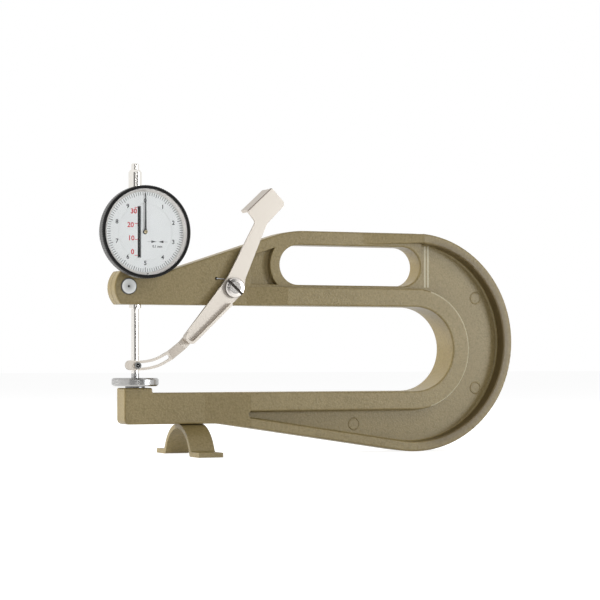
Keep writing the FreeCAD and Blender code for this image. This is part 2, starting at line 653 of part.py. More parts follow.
def rack_outline():
    """The strip cut from the rod's side, whose inner edge follows the rack's teeth."""
    pitch = value(TURN) / value("pinion_teeth")
    clear_x = -2 * value("spindle_radius")
    tip_x = -value("spindle_radius - rack_land + rack_depth / 2")
    root_x = -value("spindle_radius - rack_land - rack_depth * 0.6")
    below = math.ceil(value("travel") / pitch) + 3
    count = below + 3
    first = value(PINION_Z) - below * pitch
    points = [Vector(tip_x, first - pitch / 2, 0)]
    for number in range(count):
        gap = first + number * pitch
        for x, share in ((tip_x, -0.31), (root_x, -0.2), (root_x, 0.2), (tip_x, 0.31)):
            points.append(Vector(x, gap + share * pitch, 0))
    points.append(Vector(tip_x, first + (count - 0.5) * pitch, 0))
    return [Vector(clear_x, points[0].y, 0)] + points + [Vector(clear_x, points[-1].y, 0)]


def make_spindle():
    """The measuring rod, with the rack cut along the side that faces the pinion."""
    top = SLEEVE_TOP + " + spindle_tip"
    socket = "spindle_foot_z + stud_length + part_gap"
    body = turned("spindle", "spindle", [[
        ("stud_radius", "spindle_foot_z"), ("spindle_radius", "spindle_foot_z"),
        ("spindle_radius", top + " - part_gap * 2"), ("spindle_radius - part_gap * 2", top), (0, top),
        (0, socket), ("stud_radius", socket)]])
    points = rack_outline()
    sketch = make_sketch(body, "XZ_Plane")
    for number, point in enumerate(points):
        sketch.addGeometry(Part.LineSegment(point, points[(number + 1) % len(points)]))
    pocket(body, sketch)
    pin_hole = make_sketch(body, "XZ_Plane", 0)
    add_circle(pin_hole, 0, "lift_pin_z", "lift_pin_radius * 0.6")
    pocket(body, pin_hole, "spindle_radius * 2", reverse=True)
    return body


def make_lift_pin():
    """The headed pin on the spindle that runs in the slot of the lifting strip."""
    body = make_body("lift_pin")
    face = "sqrt(spindle_radius ^ 2 - lift_pin_radius ^ 2)"
    strip_front = "strip_back + strip_thickness + part_gap"
    for radius, back, front in (("lift_pin_radius * 0.6", "0", face),
                                ("lift_pin_radius", "spindle_radius", strip_front),
                                ("lift_pin_head", strip_front, strip_front + " + 0.9")):
        sketch = make_sketch(body, "XZ_Plane", back)
        add_circle(sketch, 0, "lift_pin_z", radius)
        if radius == "lift_pin_radius * 0.6":
            pad(body, sketch, "spindle_radius")
        else:
            pad(body, sketch, "(%s) - (%s)" % (front, back))
    return body


def make_stem():
    """The clamped tube that guides the spindle, screwed into the bottom of the case."""
    low = THROAT_TOP + " - stem_drop"
    inside = "dial_z - case_radius + case_wall + running_gap"
    bore = "spindle_radius + running_gap"
    return turned("stem", "spindle", [[
        (bore, low), ("stem_radius - 0.4", low), ("stem_radius", low + " + 0.4"), ("stem_radius", inside),
        (bore, inside)]])


def make_top_sleeve():
    bore = "spindle_radius + running_gap"
    foot = "sqrt(case_radius ^ 2 - stem_radius ^ 2) + dial_z - case_wall"
    seat = "dial_z + case_radius"
    top = SLEEVE_TOP
    return turned("top_sleeve", "spindle", [[
        (bore, foot), ("stem_radius", foot), ("stem_radius", seat), ("sleeve_radius", seat),
        ("sleeve_radius", top + " - sleeve_chamfer"), ("sleeve_radius - sleeve_chamfer * 0.7", top), (bore, top)]])


def make_case():
    """The round case: a front wall with its flange for the bezel, and a shell open at the back."""
    inner = "case_radius - case_wall"
    back = "-case_back"
    edge = "case_back_round"
    body = turned("gauge_case", "dial", [[
        ("arbor_radius * 3", "front_wall_front"), ("flange_radius", "front_wall_front"),
        ("flange_radius", "front_wall_back"), ("case_radius", "front_wall_back"),
        ("case_radius", "%s + %s" % (back, edge)), ("case_radius - %s * 0.3" % edge, "%s + %s * 0.3" % (back, edge)),
        ("case_radius - %s" % edge, back), ("cover_radius - 0.6", back), ("cover_radius - 0.6", back + " + 0.6"),
        (inner, back + " + %s" % edge), (inner, "front_wall_back"), ("arbor_radius * 3", "front_wall_back")]])
    slot = make_sketch(body, "XZ_Plane", "front_wall_back - 1")
    add_rectangle(slot, "-slot_x - slot_width / 2", "dial_z - slot_half_length", "-slot_x + slot_width / 2",
                  "dial_z + slot_half_length")
    pocket(body, slot, "front_wall_front", reverse=True)
    for radius, reverse in (("stem_radius", False), ("stem_radius", True)):
        bore = make_sketch(body, "XY_Plane", "dial_z")
        add_circle(bore, 0, 0, radius)
        pocket(body, bore, "case_radius * 2", reverse=reverse)
    return body


def make_back_cover():
    body = turned("case_back_cover", "dial", [[
        (0, "-case_back - cover_thickness"), ("cover_radius - 0.6", "-case_back - cover_thickness"),
        ("cover_radius", "-case_back - cover_thickness + 0.6"), ("cover_radius", "-case_back"), (0, "-case_back")]])
    return body


def make_bezel():
    """The turning rim: a lip over the crystal, a knurled skirt and a groove for its retaining wire."""
    lip = "bezel_radius - bezel_lip"
    seat = "crystal_front - crystal_thickness"
    groove_back = "bezel_back + 0.5"
    groove_front = "front_wall_back - part_gap + 0.1"
    return turned("bezel", "dial", [[
        (BEZEL_BORE, "bezel_back"), ("bezel_radius - 0.5", "bezel_back"), ("bezel_radius", "bezel_back + 0.5"),
        ("bezel_radius", "bezel_front - 0.6"), ("bezel_radius - 0.6", "bezel_front"),
        (lip + " + 0.4", "bezel_front"), (lip, "bezel_front - 0.4"), (lip, "crystal_front"),
        ("crystal_radius", "crystal_front"), ("crystal_radius", seat), ("crystal_radius", "dial_front"),
        (BEZEL_BORE, "dial_front"), (BEZEL_BORE, groove_front), (BEZEL_BORE + " + 0.25", groove_front),
        (BEZEL_BORE + " + 0.25", groove_back), (BEZEL_BORE, groove_back)]])


def make_bezel_pieces():
    """What turns with the bezel: crystal, bright tension ring, outer scale and retaining wire."""
    back = "crystal_front - crystal_thickness"
    crystal = turned("crystal", "dial", [bar(back, "crystal_front", 0, "crystal_radius")])
    ring = turned("crystal_ring", "dial", [[
        ("crystal_radius", back), ("crystal_radius", "dial_front"), ("scale_radius - 0.9", "dial_front"),
        ("scale_radius - 0.9", "dial_front + 0.3"), ("bezel_radius - bezel_lip - 0.3", back)]])
    scale = turned("outer_scale", "dial", [
        bar("dial_front - scale_thickness", "dial_front", "dial_radius + part_gap", BEZEL_BORE)])
    wire = doc.addObject("Part::Torus", "bezel_wire")
    wire.Label = "bezel_wire"
    wire.Placement = FreeCAD.Placement(Vector(0, 0, 0), FreeCAD.Rotation(Vector(1, 0, 0), 90))
    wire.setExpression("Radius1", bound(BEZEL_BORE + " - wire_radius + 0.2"))
    wire.setExpression("Radius2", bound("wire_radius"))
    wire.setExpression("Placement.Base.x", bound("-" + MIDDLE_X))
    wire.setExpression("Placement.Base.y", bound("-bezel_back - bezel_wire_depth"))
    wire.setExpression("Placement.Base.z", bound("dial_z"))
    return [crystal, ring, scale, wire]


def make_inner_dial():
    body = turned("inner_dial", "dial", [bar("front_wall_front", "dial_front", "arbor_radius * 2.5", "dial_radius")])
    slot = make_sketch(body, "XZ_Plane", "front_wall_front - 1")
    add_rectangle(slot, "-slot_x - slot_width / 2", "dial_z - slot_half_length", "-slot_x + slot_width / 2",
                  "dial_z + slot_half_length")
    pocket(body, slot, "dial_front", reverse=True)
    return body


def add_bosses(case):
    """Bosses inside the case that take the back cover's screws."""
    places = cover_screw_places()
    for x, z in places:
        sketch = make_sketch(case, "XZ_Plane", "-case_back")
        add_circle(sketch, x, z, "cover_screw_radius + 0.6")
        add_circle(sketch, x, z, "movement_screw_radius")
        pad(case, sketch, "case_back_round")
    holes = make_sketch(case, "XZ_Plane", "-case_back")
    for x, z in places:
        add_circle(holes, x, z, "movement_screw_radius")
    pocket(case, holes, "case_back_round", reverse=True)


def cover_screw_places():
    reach = "(case_radius - case_wall - cover_screw_radius * 2.2)"
    angles = (20, 160, 200, 340)
    return [("%s * cos(%d deg)" % (reach, angle), "dial_z + %s * sin(%d deg)" % (reach, angle))
            for angle in angles]


def drill(body, places, radius, level="0"):
    """Holes along the depth of the instrument, through the whole piece."""
    sketch = make_sketch(body, "XZ_Plane", level)
    for x, z in places:
        add_circle(sketch, x, z, radius)
    return pocket(body, sketch)


def make_screws(label, places, seat, length, head_radius, head_height, shank_radius, towards_front):
    """Equal slotted screws, made as one head and shank for each place."""
    way = 1 if towards_front else -1
    solids = []
    for x, z in places:
        origin = Vector(value(x), -value(seat), value(z))
        inwards = Vector(0, -way, 0)
        outwards = Vector(0, way, 0)
        head = Part.makeCylinder(value(head_radius), value(head_height), origin, outwards)
        rim = [edge for edge in head.Edges if abs(edge.BoundBox.YMax - origin.y) > 1e-6 and edge.isClosed()]
        head = head.makeChamfer(value(head_height) * 0.25, rim)
        shank = Part.makeCylinder(value(shank_radius), value(length), origin, inwards)
        slot_width = value(head_radius) * 0.36
        slot_depth = value(head_height) * 0.5
        slot = Part.makeBox(value(head_radius) * 2.2, slot_depth * 2, slot_width)
        slot.translate(Vector(-value(head_radius) * 1.1, -slot_depth, -slot_width / 2))
        slot.translate(origin + outwards * value(head_height))
        solids.append(head.fuse(shank).removeSplitter().cut(slot))
    return raw_piece(label, Part.makeCompound(solids))


def pillar_places():
    low = "plate_bottom_z + pillar_margin"
    high = "plate_top_z - pillar_margin"
    return [("-pillar_x", low), ("pillar_x", low), ("-pillar_x", high), ("pillar_x", high)]


def make_movement_plates():
    """Two plates that carry the gears' arbors, held off the front wall by pillars."""
    plates = []
    for label, front in (("movement_back_plate", "back_plate_front"),
                         ("movement_front_plate", "front_plate_front")):
        body = plate(label, "XZ_Plane", front + " - plate_thickness", "plate_thickness",
                     lambda sketch: add_rectangle(sketch, "-plate_half_width", "plate_bottom_z",
                                                  "plate_half_width", "plate_top_z"))
        drill(body, [(0, "dial_z"), (PINION_X, PINION_Z)], "arbor_radius + running_gap")
        drill(body, pillar_places(), "movement_screw_radius")
        plates.append(body)
    return plates


def make_pillars():
    gap = "front_plate_front - plate_thickness"
    lower = cylinders("movement_pillars", "back_plate_front", gap, pillar_places(),
                      "pillar_radius", "movement_screw_radius")
    upper = cylinders("movement_standoffs", "front_plate_front", "front_wall_back", pillar_places(),
                      "pillar_radius", "movement_screw_radius")
    return [group("movement_pillars", lower), group("movement_standoffs", upper)]


def make_rack_pinion():
    pitch_radius = value(PINION_RADIUS)
    count = int(value("pinion_teeth"))
    module = 2 * pitch_radius / count
    body = toothed_wheel("rack_pinion", PINION_X, PINION_Z, "-pinion_half_width", "pinion_half_width * 2",
                         (count, module, 0, pitch_radius), None)
    arbor = make_sketch(body, "XZ_Plane", "0")
    add_circle(arbor, PINION_X, PINION_Z, "arbor_radius")
    pad(body, arbor, "front_plate_front")
    return body


def make_gears():
    """The equal pair that turns the pointer against the pinion's turning."""
    count = int(value("gear_teeth"))
    module = value("gear_module")
    line = math.atan2(value("dial_z") - value(PINION_Z), -value(PINION_X))
    wheel = (count, module, line, value(GEAR_RADIUS))
    mate = (count, module, line + math.pi + math.pi / count, value(GEAR_RADIUS))
    drive = toothed_wheel("drive_gear", PINION_X, PINION_Z, "gear_back", "gear_thickness", wheel, "arbor_radius")
    centre = toothed_wheel("centre_gear", 0, "dial_z", "gear_back", "gear_thickness", mate, "arbor_radius")
    return [drive, centre]


def make_pointer():
    """Long black hand that widens towards the hub, fixed on the centre arbor."""
    tip, foot = "pointer_half_width * 0.45", "arbor_radius * 1.4"
    high, low = "dial_z + pointer_length", "dial_z - pointer_tail"
    outline = [("-(%s)" % tip, high), (tip, high), ("pointer_half_width", "dial_z + hub_radius * 2"),
               (foot, "dial_z + hub_radius"), (foot, low), ("-(%s)" % foot, low),
               ("-(%s)" % foot, "dial_z + hub_radius"), ("-pointer_half_width", "dial_z + hub_radius * 2")]
    body = plate("pointer", "XZ_Plane", "pointer_level", "0.3", lambda sketch: add_polygon(sketch, outline))
    drill(body, [(0, "dial_z")], "arbor_radius")
    return body


def make_pointer_train():
    arbor = turned("centre_arbor", "dial", [bar("back_plate_front - plate_thickness", "pointer_level + 0.5",
                                                0, "arbor_radius")])
    hub = turned("pointer_hub", "dial", [[
        ("arbor_radius", "pointer_level + 0.3"), ("hub_radius", "pointer_level + 0.3"),
        ("hub_radius", "pointer_level + 0.8"), ("hub_radius - 0.3", "pointer_level + 1.1"),
        (0, "pointer_level + 1.1"), (0, "pointer_level + 0.5"), ("arbor_radius", "pointer_level + 0.5")]])
    return [arbor, hub, make_pointer()]


def make_carrier():
    """The bracket behind the spindle that carries the guide pin, the spring and the travel marker."""
    body = make_body("slide_carrier")
    back = "-case_back + part_gap"
    front = "(-case_back + part_gap + carrier_thickness)"
    low, high = "carrier_z - carrier_height / 2", "carrier_z + carrier_height / 2"
    reach = "carrier_reach"
    arm_inner = "0.8 - carrier_reach"
    box_on(body, "XZ_Plane", back, "carrier_thickness", "-" + reach, low, "guide_x + guide_pin_radius", high)
    saddle = "spindle_radius * 0.88"
    box_on(body, "XZ_Plane", back, "case_back - part_gap * 2 - pinion_half_width", "-" + saddle,
           low + " - carrier_height", saddle, high + " + carrier_height")
    box_on(body, "XZ_Plane", back, "case_back - part_gap + front_plate_front + pinion_half_width * 2.4",
           "-" + reach, low, arm_inner, high)
    inward = "(front_plate_front + pinion_half_width * 1.5)"
    box_on(body, "XZ_Plane", inward, "pinion_half_width * 0.9", "-" + reach, low, "0.4 - slot_x", high)
    box_on(body, "XZ_Plane", inward, "front_wall_front - %s - 0.6" % inward, "-slot_x - 0.4", low,
           "0.4 - slot_x", high)
    spring_z = "carrier_z + spring_arm_rise"
    box_on(body, "XZ_Plane", back, "carrier_thickness", "spring_x - guide_pin_radius", low,
           "spring_x + guide_pin_radius", spring_z + " + guide_pin_radius")
    for x, z in (("spring_x", spring_z), ("guide_x", "carrier_z")):
        pin = make_sketch(body, "XZ_Plane", front)
        add_circle(pin, x, z, "guide_pin_radius")
        pad(body, pin, "case_back - part_gap - carrier_thickness - 0.2")
    rod = make_sketch(body, "XY_Plane", "carrier_z")
    add_circle(rod, 0, 0, "spindle_radius")
    pocket(body, rod)
    return body


def make_guide_rail():
    """The slotted rail that keeps the spindle from turning, with its foot on the front wall."""
    body = make_body("guide_rail")
    back = "-(pinion_half_width * 1.5)"
    low, high = "rail_bottom_z", "rail_top_z"
    box_on(body, "XZ_Plane", back, "pinion_half_width", "plate_half_width", low, "rail_outer_x", high)
    box_on(body, "XZ_Plane", back, "front_wall_back + pinion_half_width * 1.5",
           "rail_outer_x - pinion_half_width", low, "rail_outer_x", high)
    slot = make_sketch(body, "XZ_Plane")
    half = "guide_pin_radius + part_gap"
    add_outline(slot, [("guide_x - (%s)" % half, "carrier_z - 1", half), ("guide_x + (%s)" % half, "carrier_z - 1", half),
                       ("guide_x + (%s)" % half, "carrier_z + travel + 1", half),
                       ("guide_x - (%s)" % half, "carrier_z + travel + 1", half)])
    pocket(body, slot)
    return body


def helix_wire(radius, wire_radius, pitch, height):
    """A round wire wound in a helix about +Z, from the origin upwards."""
    path = Part.makeHelix(pitch, height, radius)
    start = Vector(radius, 0, 0)
    section = Part.Wire(Part.Circle(start, Vector(0, 2 * math.pi * radius, pitch).normalize(), wire_radius).toShape())
    return Part.Wire(path).makePipeShell([section], True, True)


def make_return_spring():
    """Light tension spring between the post on the back plate and the carrier's arm."""
    wire = value("spring_wire_radius")
    low = value("spring_post_z + guide_pin_radius") + wire + 0.05
    high = value("carrier_z + spring_arm_rise - guide_pin_radius") - wire - 0.05
    coil = helix_wire(value("spring_coil_radius"), wire, (high - low) / value("spring_turns"), high - low)
    coil.translate(Vector(value("spring_x"), value("pinion_half_width"), low))
    return raw_piece("return_spring", coil)


def make_lever_spring():
    """Torsion spring round the spacer. One leg sits in the casting, the other behind the lever."""
    wire = value("lever_spring_wire")
    radius = value("hub_round") * 0.76
    low = value("arm_thickness / 2") + wire + 0.15
    high = value("lever_back") - wire - 0.2
    coil = helix_wire(radius, wire, (high - low) / 2.5, high - low)
    coil.rotate(Vector(0, 0, 0), Vector(1, 0, 0), 90)
    hole = Vector(value("spring_hole_x - pivot_x"), 0, value("spring_hole_z - pivot_z"))
    bearing = math.atan2(hole.z, hole.x)
    tangent = bearing - math.acos(radius / hole.Length)
    start = Vector(radius * math.cos(tangent), -low, radius * math.sin(tangent))
    end = Vector(hole.x, -low, hole.z)
    coil.rotate(Vector(0, 0, 0), Vector(0, -1, 0), math.degrees(tangent))
    coil.translate(Vector(0, -low, 0))
    along = (end - start).normalize()
    leg = Part.makeCylinder(0.9 * wire, (end - start).Length + wire, start - along * wire, along)
    hook = Part.makeCylinder(wire, low - value("arm_thickness / 4") - 0.3, end + Vector(0, -wire, 0), Vector(0, 1, 0))
    spring = coil.fuse([leg, hook])
    spring.translate(Vector(value("pivot_x"), 0, value("pivot_z")))
    return raw_piece("lever_spring", spring)


def shifted(points):
    """Corners given from the lever's pivot, as places in the side view."""
    return [(value("pivot_x") + x, value("pivot_z") + z, radius) for x, z, radius in points]


def offset_path(points, distance):
    """Points of a path moved sideways by a distance, mitred at the corners."""
    moved = []
    for number, point in enumerate(points):
        ways = []
        if number > 0:
            ways.append((point - points[number - 1]).normalize())
        if number < len(points) - 1:
            ways.append((points[number + 1] - point).normalize())
        sides = [Vector(-way.y, way.x, 0) for way in ways]
        side = sum(sides[1:], sides[0]).normalize()
        moved.append(point + side * (distance / side.dot(sides[0])))
    return moved


PAD_LEFT = (9.2, 49.8)
PAD_TOP = (26.0, 65.3)
ARM_END_RIGHT = (-29.3, -36.8)
ARM_END_LEFT = (-36.1, -33.5)
HUB_RIGHT = (2.7, -6.5)
HUB_LEFT = (-8.1, 2.0)


def lever_outline():
    """The stamped lever from its thumb pad over the hub to its rounded lower end."""
    return shifted([
        (15.0, 42.8, 2.5), PAD_LEFT + (1.2,), PAD_TOP + (1.2,), (34.7, 56.2, 1.2), (34.7, 53.6, 1.2),
        (22.9, 41.6, 3.0), (17.9, 30.1, 12.0), (7.7, 5.5, 4.0), (7.3, -1.8, 5.0), HUB_RIGHT + (5.0,),
        ARM_END_RIGHT + (3.4,), ARM_END_LEFT + (3.4,), HUB_LEFT + (8.0,), (-3.9, 7.5, 8.0)])


def make_lever():
    body = make_body("lever")
    side = make_sketch(body, "XZ_Plane", "lever_back")
    add_outline(side, lever_outline())
    pad(body, side, "lever_thickness")
    pivot = Vector(value("pivot_x"), value("pivot_z"), 0)
    wall = value("lever_thickness")
    left, top = (pivot + Vector(x, z, 0) for x, z in (PAD_LEFT, PAD_TOP))
    along = (top - left).normalize()
    inwards = Vector(along.y, -along.x, 0)
    corner = value("lever_thickness") * 0.6
    lip = make_sketch(body, "XZ_Plane", "lever_back - lip_depth")
    ends = [left + along * corner, top - along * corner]
    strip = [ends[0], ends[1], ends[1] + inwards * wall, ends[0] + inwards * wall]
    add_polygon(lip, [(point.x, point.y) for point in strip])
    pad(body, lip, "lip_depth + lever_thickness")
    flange = make_sketch(body, "XZ_Plane", "lever_back + lever_thickness / 2")
    hub_right, end_right, end_left, hub_left = (
        pivot + Vector(x, z, 0) for x, z in (HUB_RIGHT, ARM_END_RIGHT, ARM_END_LEFT, HUB_LEFT))
    route = [hub_right + (end_right - hub_right) * 0.15, end_right, end_left,
             end_left + (hub_left - end_left) * 0.15]
    thickness = value("lever_flange_wall")
    inner = offset_path(route, -thickness)
    radii = [0.3, 3.4, 3.4, 0.3]
    corners = [(point.x, point.y, radius) for point, radius in zip(route, radii)]
    corners += [(point.x, point.y, max(radius - thickness, 0.3)) for point, radius in zip(inner[::-1], radii[::-1])]
    add_outline(flange, corners)
    pad(body, flange, "lever_flange_depth + lever_thickness / 2")
    bore = make_sketch(body, "XZ_Plane")
    add_circle(bore, "pivot_x", "pivot_z", "shoulder_radius + running_gap")
    pocket(body, bore)
    return body


def slot_place(turn):
    """Where the lift pin stands in the lever's own frame once the lever has turned by an angle."""
    x = -value("pivot_x")
    z = value("lift_pin_z - pivot_z") + value("lever_rate") * turn
    return Vector(value("pivot_x") + x * math.cos(turn) - z * math.sin(turn),
                  value("pivot_z") + x * math.sin(turn) + z * math.cos(turn), 0)


def slot_edges(low_turn, high_turn, lead, half_width, samples=9):
    """Outline that follows the pin's path and a straight lead after it, with round ends."""
    turns = [low_turn + (high_turn - low_turn) * number / (samples - 1) for number in range(samples)]
    sides = {1: [], -1: []}
    caps = []
    for turn in turns:
        along = (slot_place(turn + 0.001) - slot_place(turn - 0.001)).normalize()
        caps.append((slot_place(turn), along))
    caps.append((caps[-1][0] + caps[-1][1] * lead, caps[-1][1]))
    for place, along in caps:
        for side, points in sides.items():
            points.append(place + Vector(-along.y, along.x, 0) * (side * half_width))
    upper, lower = Part.BSplineCurve(), Part.BSplineCurve()
    upper.interpolate(sides[1])
    lower.interpolate(sides[-1])
    start, end = caps[0][0] - caps[0][1] * half_width, caps[-1][0] + caps[-1][1] * half_width
    return [upper.toShape(), Part.Arc(sides[1][-1], end, sides[-1][-1]).toShape(), lower.toShape(),
            Part.Arc(sides[-1][0], start, sides[1][0]).toShape()], caps


def standing_face(edges, level):
    """A face drawn in the side view, stood upright at a level forward of the spindle axis."""
    face = Part.Face(Part.Wire(Part.__sortEdges__(edges)))
    face.rotate(Vector(0, 0, 0), Vector(1, 0, 0), 90)
    face.translate(Vector(0, -level, 0))
    return face


def make_lifting_strip():
    """Slotted strip spot-welded behind the lever and set back to the spindle by a joggle."""
    half = value("strip_width / 2")
    back = value("strip_back")
    thickness = value("strip_thickness")
    behind_lever = value("lever_back") - thickness
    last_turn = value("travel / lever_rate")
    lead = value("strip_lead")
    slot_half = value("strip_slot / 2")
    outline, caps = slot_edges(-0.092, last_turn + 0.02, lead + slot_half, half)
    slot, _ = slot_edges(-0.026, last_turn + 0.02, lead, slot_half)
    forward = Vector(0, -thickness, 0)
    blade = standing_face(outline, back).extrude(forward).cut(standing_face(slot, back).extrude(forward))
    place, along = caps[-1]
    pivot = Vector(value("pivot_x"), value("pivot_z"), 0)
    end_middle = pivot + (Vector(*ARM_END_RIGHT, 0) + Vector(*ARM_END_LEFT, 0)) / 2
    arm_way = (pivot - end_middle).normalize()
    joint = end_middle - arm_way * half
    tail = [joint, joint + arm_way * half * 5]
    side = Vector(-arm_way.y, arm_way.x, 0)
    corners = [tail[0] + side * half, tail[1] + side * half, tail[1] - side * half, tail[0] - side * half]
    tail_edges = [Part.LineSegment(corners[number], corners[(number + 1) % 4]).toShape() for number in range(4)]
    tail_plate = standing_face(tail_edges, behind_lever).extrude(forward)
    rings = []
    for middle, way, level in ((place + along * half * 0.3, along, back), (tail[0] + arm_way * 0.5, arm_way, behind_lever)):
        across = Vector(-way.y, way.x, 0) * half
        ends = [middle + across, middle - across]
        ring = [Vector(end.x, -depth, end.y) for end, depth in
                ((ends[0], level), (ends[0], level + thickness), (ends[1], level + thickness), (ends[1], level))]
        rings.append(Part.makePolygon(ring + ring[:1]))
    joggle = Part.makeLoft(rings, True, True)
    return raw_piece("lifting_strip", blade.fuse([joggle, tail_plate]).removeSplitter())


def make_pivot():
    """Spacer sleeve and slotted shoulder screw that the lever turns on."""
    face = "arm_thickness / 2"
    step = "lever_back - part_gap / 2"
    seat = "lever_back + lever_thickness + part_gap / 2"
    spacer = turned("pivot_spacer", "pivot", [bar(face, step, "pivot_thread_radius", "shoulder_radius * 1.4")])
    top = seat + " + pivot_head_height"
    screw = turned("lever_pivot_screw", "pivot", [[
        (0, "-(%s)" % face), ("pivot_thread_radius", "-(%s)" % face), ("pivot_thread_radius", step),
        ("shoulder_radius", step), ("shoulder_radius", seat), ("pivot_head_radius", seat),
        ("pivot_head_radius", top + " - pivot_head_height * 0.3"),
        ("pivot_head_radius * 0.9", top + " - pivot_head_height * 0.1"), ("pivot_head_radius * 0.6", top), (0, top)]])
    slot = make_sketch(screw, "XZ_Plane", top + " - pivot_head_height * 0.5")
    half_width = value("pivot_head_height") * 0.3
    half_length = value("pivot_head_radius") + 1
    way = Vector(math.cos(math.radians(-42)), math.sin(math.radians(-42)), 0)
    across = Vector(-way.y, way.x, 0)
    middle = Vector(value("pivot_x"), value("pivot_z"), 0)
    ends = [(1, 1), (-1, 1), (-1, -1), (1, -1)]
    add_polygon(slot, [((middle + way * half_length * a + across * half_width * b).x,
                        (middle + way * half_length * a + across * half_width * b).y) for a, b in ends])
    pocket(screw, slot, "pivot_head_height", reverse=True)
    return [spacer, screw]


def make_clamp_screw():
    """Flat-head screw that closes the slit nose round the stem."""
    seat = "arm_thickness / 2 - clamp_recess"
    top = seat + " + clamp_head_height"
    body = turned("stem_clamp_screw", "clamp", [[
        (0, "-arm_thickness / 2"), ("clamp_thread_radius", "-arm_thickness / 2"), ("clamp_thread_radius", seat),
        ("clamp_head_radius", seat), ("clamp_head_radius", top + " - clamp_head_height * 0.2"),
        ("clamp_head_radius - clamp_head_height * 0.2", top), (0, top)]])
    socket = make_sketch(body, "XZ_Plane", top + " - clamp_head_height * 0.6")
    radius = value("clamp_thread_radius") * 0.55
    add_polygon(socket, [("clamp_x + %g" % (radius * math.cos(math.radians(60 * number))),
                          "%s + %g" % (CLAMP_Z, radius * math.sin(math.radians(60 * number))))
                         for number in range(6)])
    pocket(body, socket, "clamp_head_radius", reverse=True)
    return body


def make_marker():
    return plate("travel_marker", "XZ_Plane", "front_wall_front - 0.6", "dial_front - front_wall_front + 1.0",
                 lambda sketch: add_rectangle(sketch, "-slot_x - 0.5", "carrier_z - carrier_height / 2",
                                              "0.5 - slot_x", "carrier_z + carrier_height / 2"))


soften_casting(frame)
case = make_case()
add_bosses(case)
cover = make_back_cover()
drill(cover, cover_screw_places(), "movement_screw_radius")
spring_post = group("spring_post", cylinders("spring_post", "-case_back + part_gap * 5", "back_plate_front - plate_thickness",
                                             [("spring_x", "spring_post_z")], "guide_pin_radius"))
pieces = [
    frame, make_foot(), make_foot_screw(), make_anvil(), make_contact_disc(), make_spindle(), make_lift_pin(),
    make_stem(), make_top_sleeve(), case, cover,
    make_screws("back_cover_screws", cover_screw_places(), "-case_back - cover_thickness", "case_back_round",
                "cover_screw_radius", "cover_screw_radius * 0.6", "movement_screw_radius", True),
    make_bezel(), *make_bezel_pieces(), make_inner_dial(), *make_movement_plates(), *make_pillars(),
    make_screws("movement_screws", pillar_places(), "back_plate_front - plate_thickness",
                "front_wall_back - back_plate_front + plate_thickness", "screw_head_radius",
                "screw_head_height", "movement_screw_radius", True),
    make_rack_pinion(), *make_gears(), *make_pointer_train(), make_carrier(), make_guide_rail(), spring_post,
    make_return_spring(), make_lever(), make_lifting_strip(), make_lever_spring(), *make_pivot(),
    make_clamp_screw(), make_marker(),
]

doc.recompute()
for item in doc.Objects:
    if "Invalid" in item.State or "Error" in item.State:
        raise ValueError("%s could not be made" % item.Name)
for piece in pieces:
    if piece.Shape.isNull() or not piece.Shape.isValid():
        raise ValueError("%s is not a sound solid" % piece.Label)
os.makedirs("parts", exist_ok=True)
for piece in pieces:
    piece.Shape.exportStep(os.path.join("parts", piece.Label + ".step"))
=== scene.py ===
import math

import bmesh
import bpy
from mathutils import Matrix, Vector


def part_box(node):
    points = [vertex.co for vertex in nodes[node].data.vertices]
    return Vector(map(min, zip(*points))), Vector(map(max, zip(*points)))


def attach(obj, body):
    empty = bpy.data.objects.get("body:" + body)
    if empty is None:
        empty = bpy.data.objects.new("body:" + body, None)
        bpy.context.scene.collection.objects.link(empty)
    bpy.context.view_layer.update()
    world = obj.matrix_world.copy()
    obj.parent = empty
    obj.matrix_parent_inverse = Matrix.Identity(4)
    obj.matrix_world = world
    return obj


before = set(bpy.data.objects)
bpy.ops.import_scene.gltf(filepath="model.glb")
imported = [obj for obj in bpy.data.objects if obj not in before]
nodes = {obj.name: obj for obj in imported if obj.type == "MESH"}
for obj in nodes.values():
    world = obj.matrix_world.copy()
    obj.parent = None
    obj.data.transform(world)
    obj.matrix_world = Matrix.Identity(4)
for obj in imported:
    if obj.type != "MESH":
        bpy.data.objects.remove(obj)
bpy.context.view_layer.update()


# Frame: one deep C-shaped casting with a thick outer rim, a web and a handle.
# Grey iron or light alloy, blasted and sprayed with a khaki enamel that dries
# to a fine, slightly hammered grain.
class Value:
    """One output of a node. Sums, products and comparisons of values add their Math nodes."""

    def __init__(self, finish, socket):
        self.finish = finish
        self.socket = socket

    def out(self, name):
        """Another output of the same node."""
        return Value(self.finish, self.socket.node.outputs[name])

    def math(self, operation, *others):
        terms = (self,) + others
        return self.finish.node("Math", {"operation": operation}, dict(enumerate(terms)))

    def __add__(self, other):
        return self.math("ADD", other)

    def __mul__(self, other):
        return self.math("MULTIPLY", other)

    def __sub__(self, other):
        return self.math("SUBTRACT", other)

    def __truediv__(self, other):
        return self.math("DIVIDE", other)

    def __rsub__(self, other):
        return self.finish.node("Math", {"operation": "SUBTRACT"}, {0: other, 1: self})

    def __rtruediv__(self, other):
        return self.finish.node("Math", {"operation": "DIVIDE"}, {0: other, 1: self})

    __radd__ = __add__
    __rmul__ = __mul__


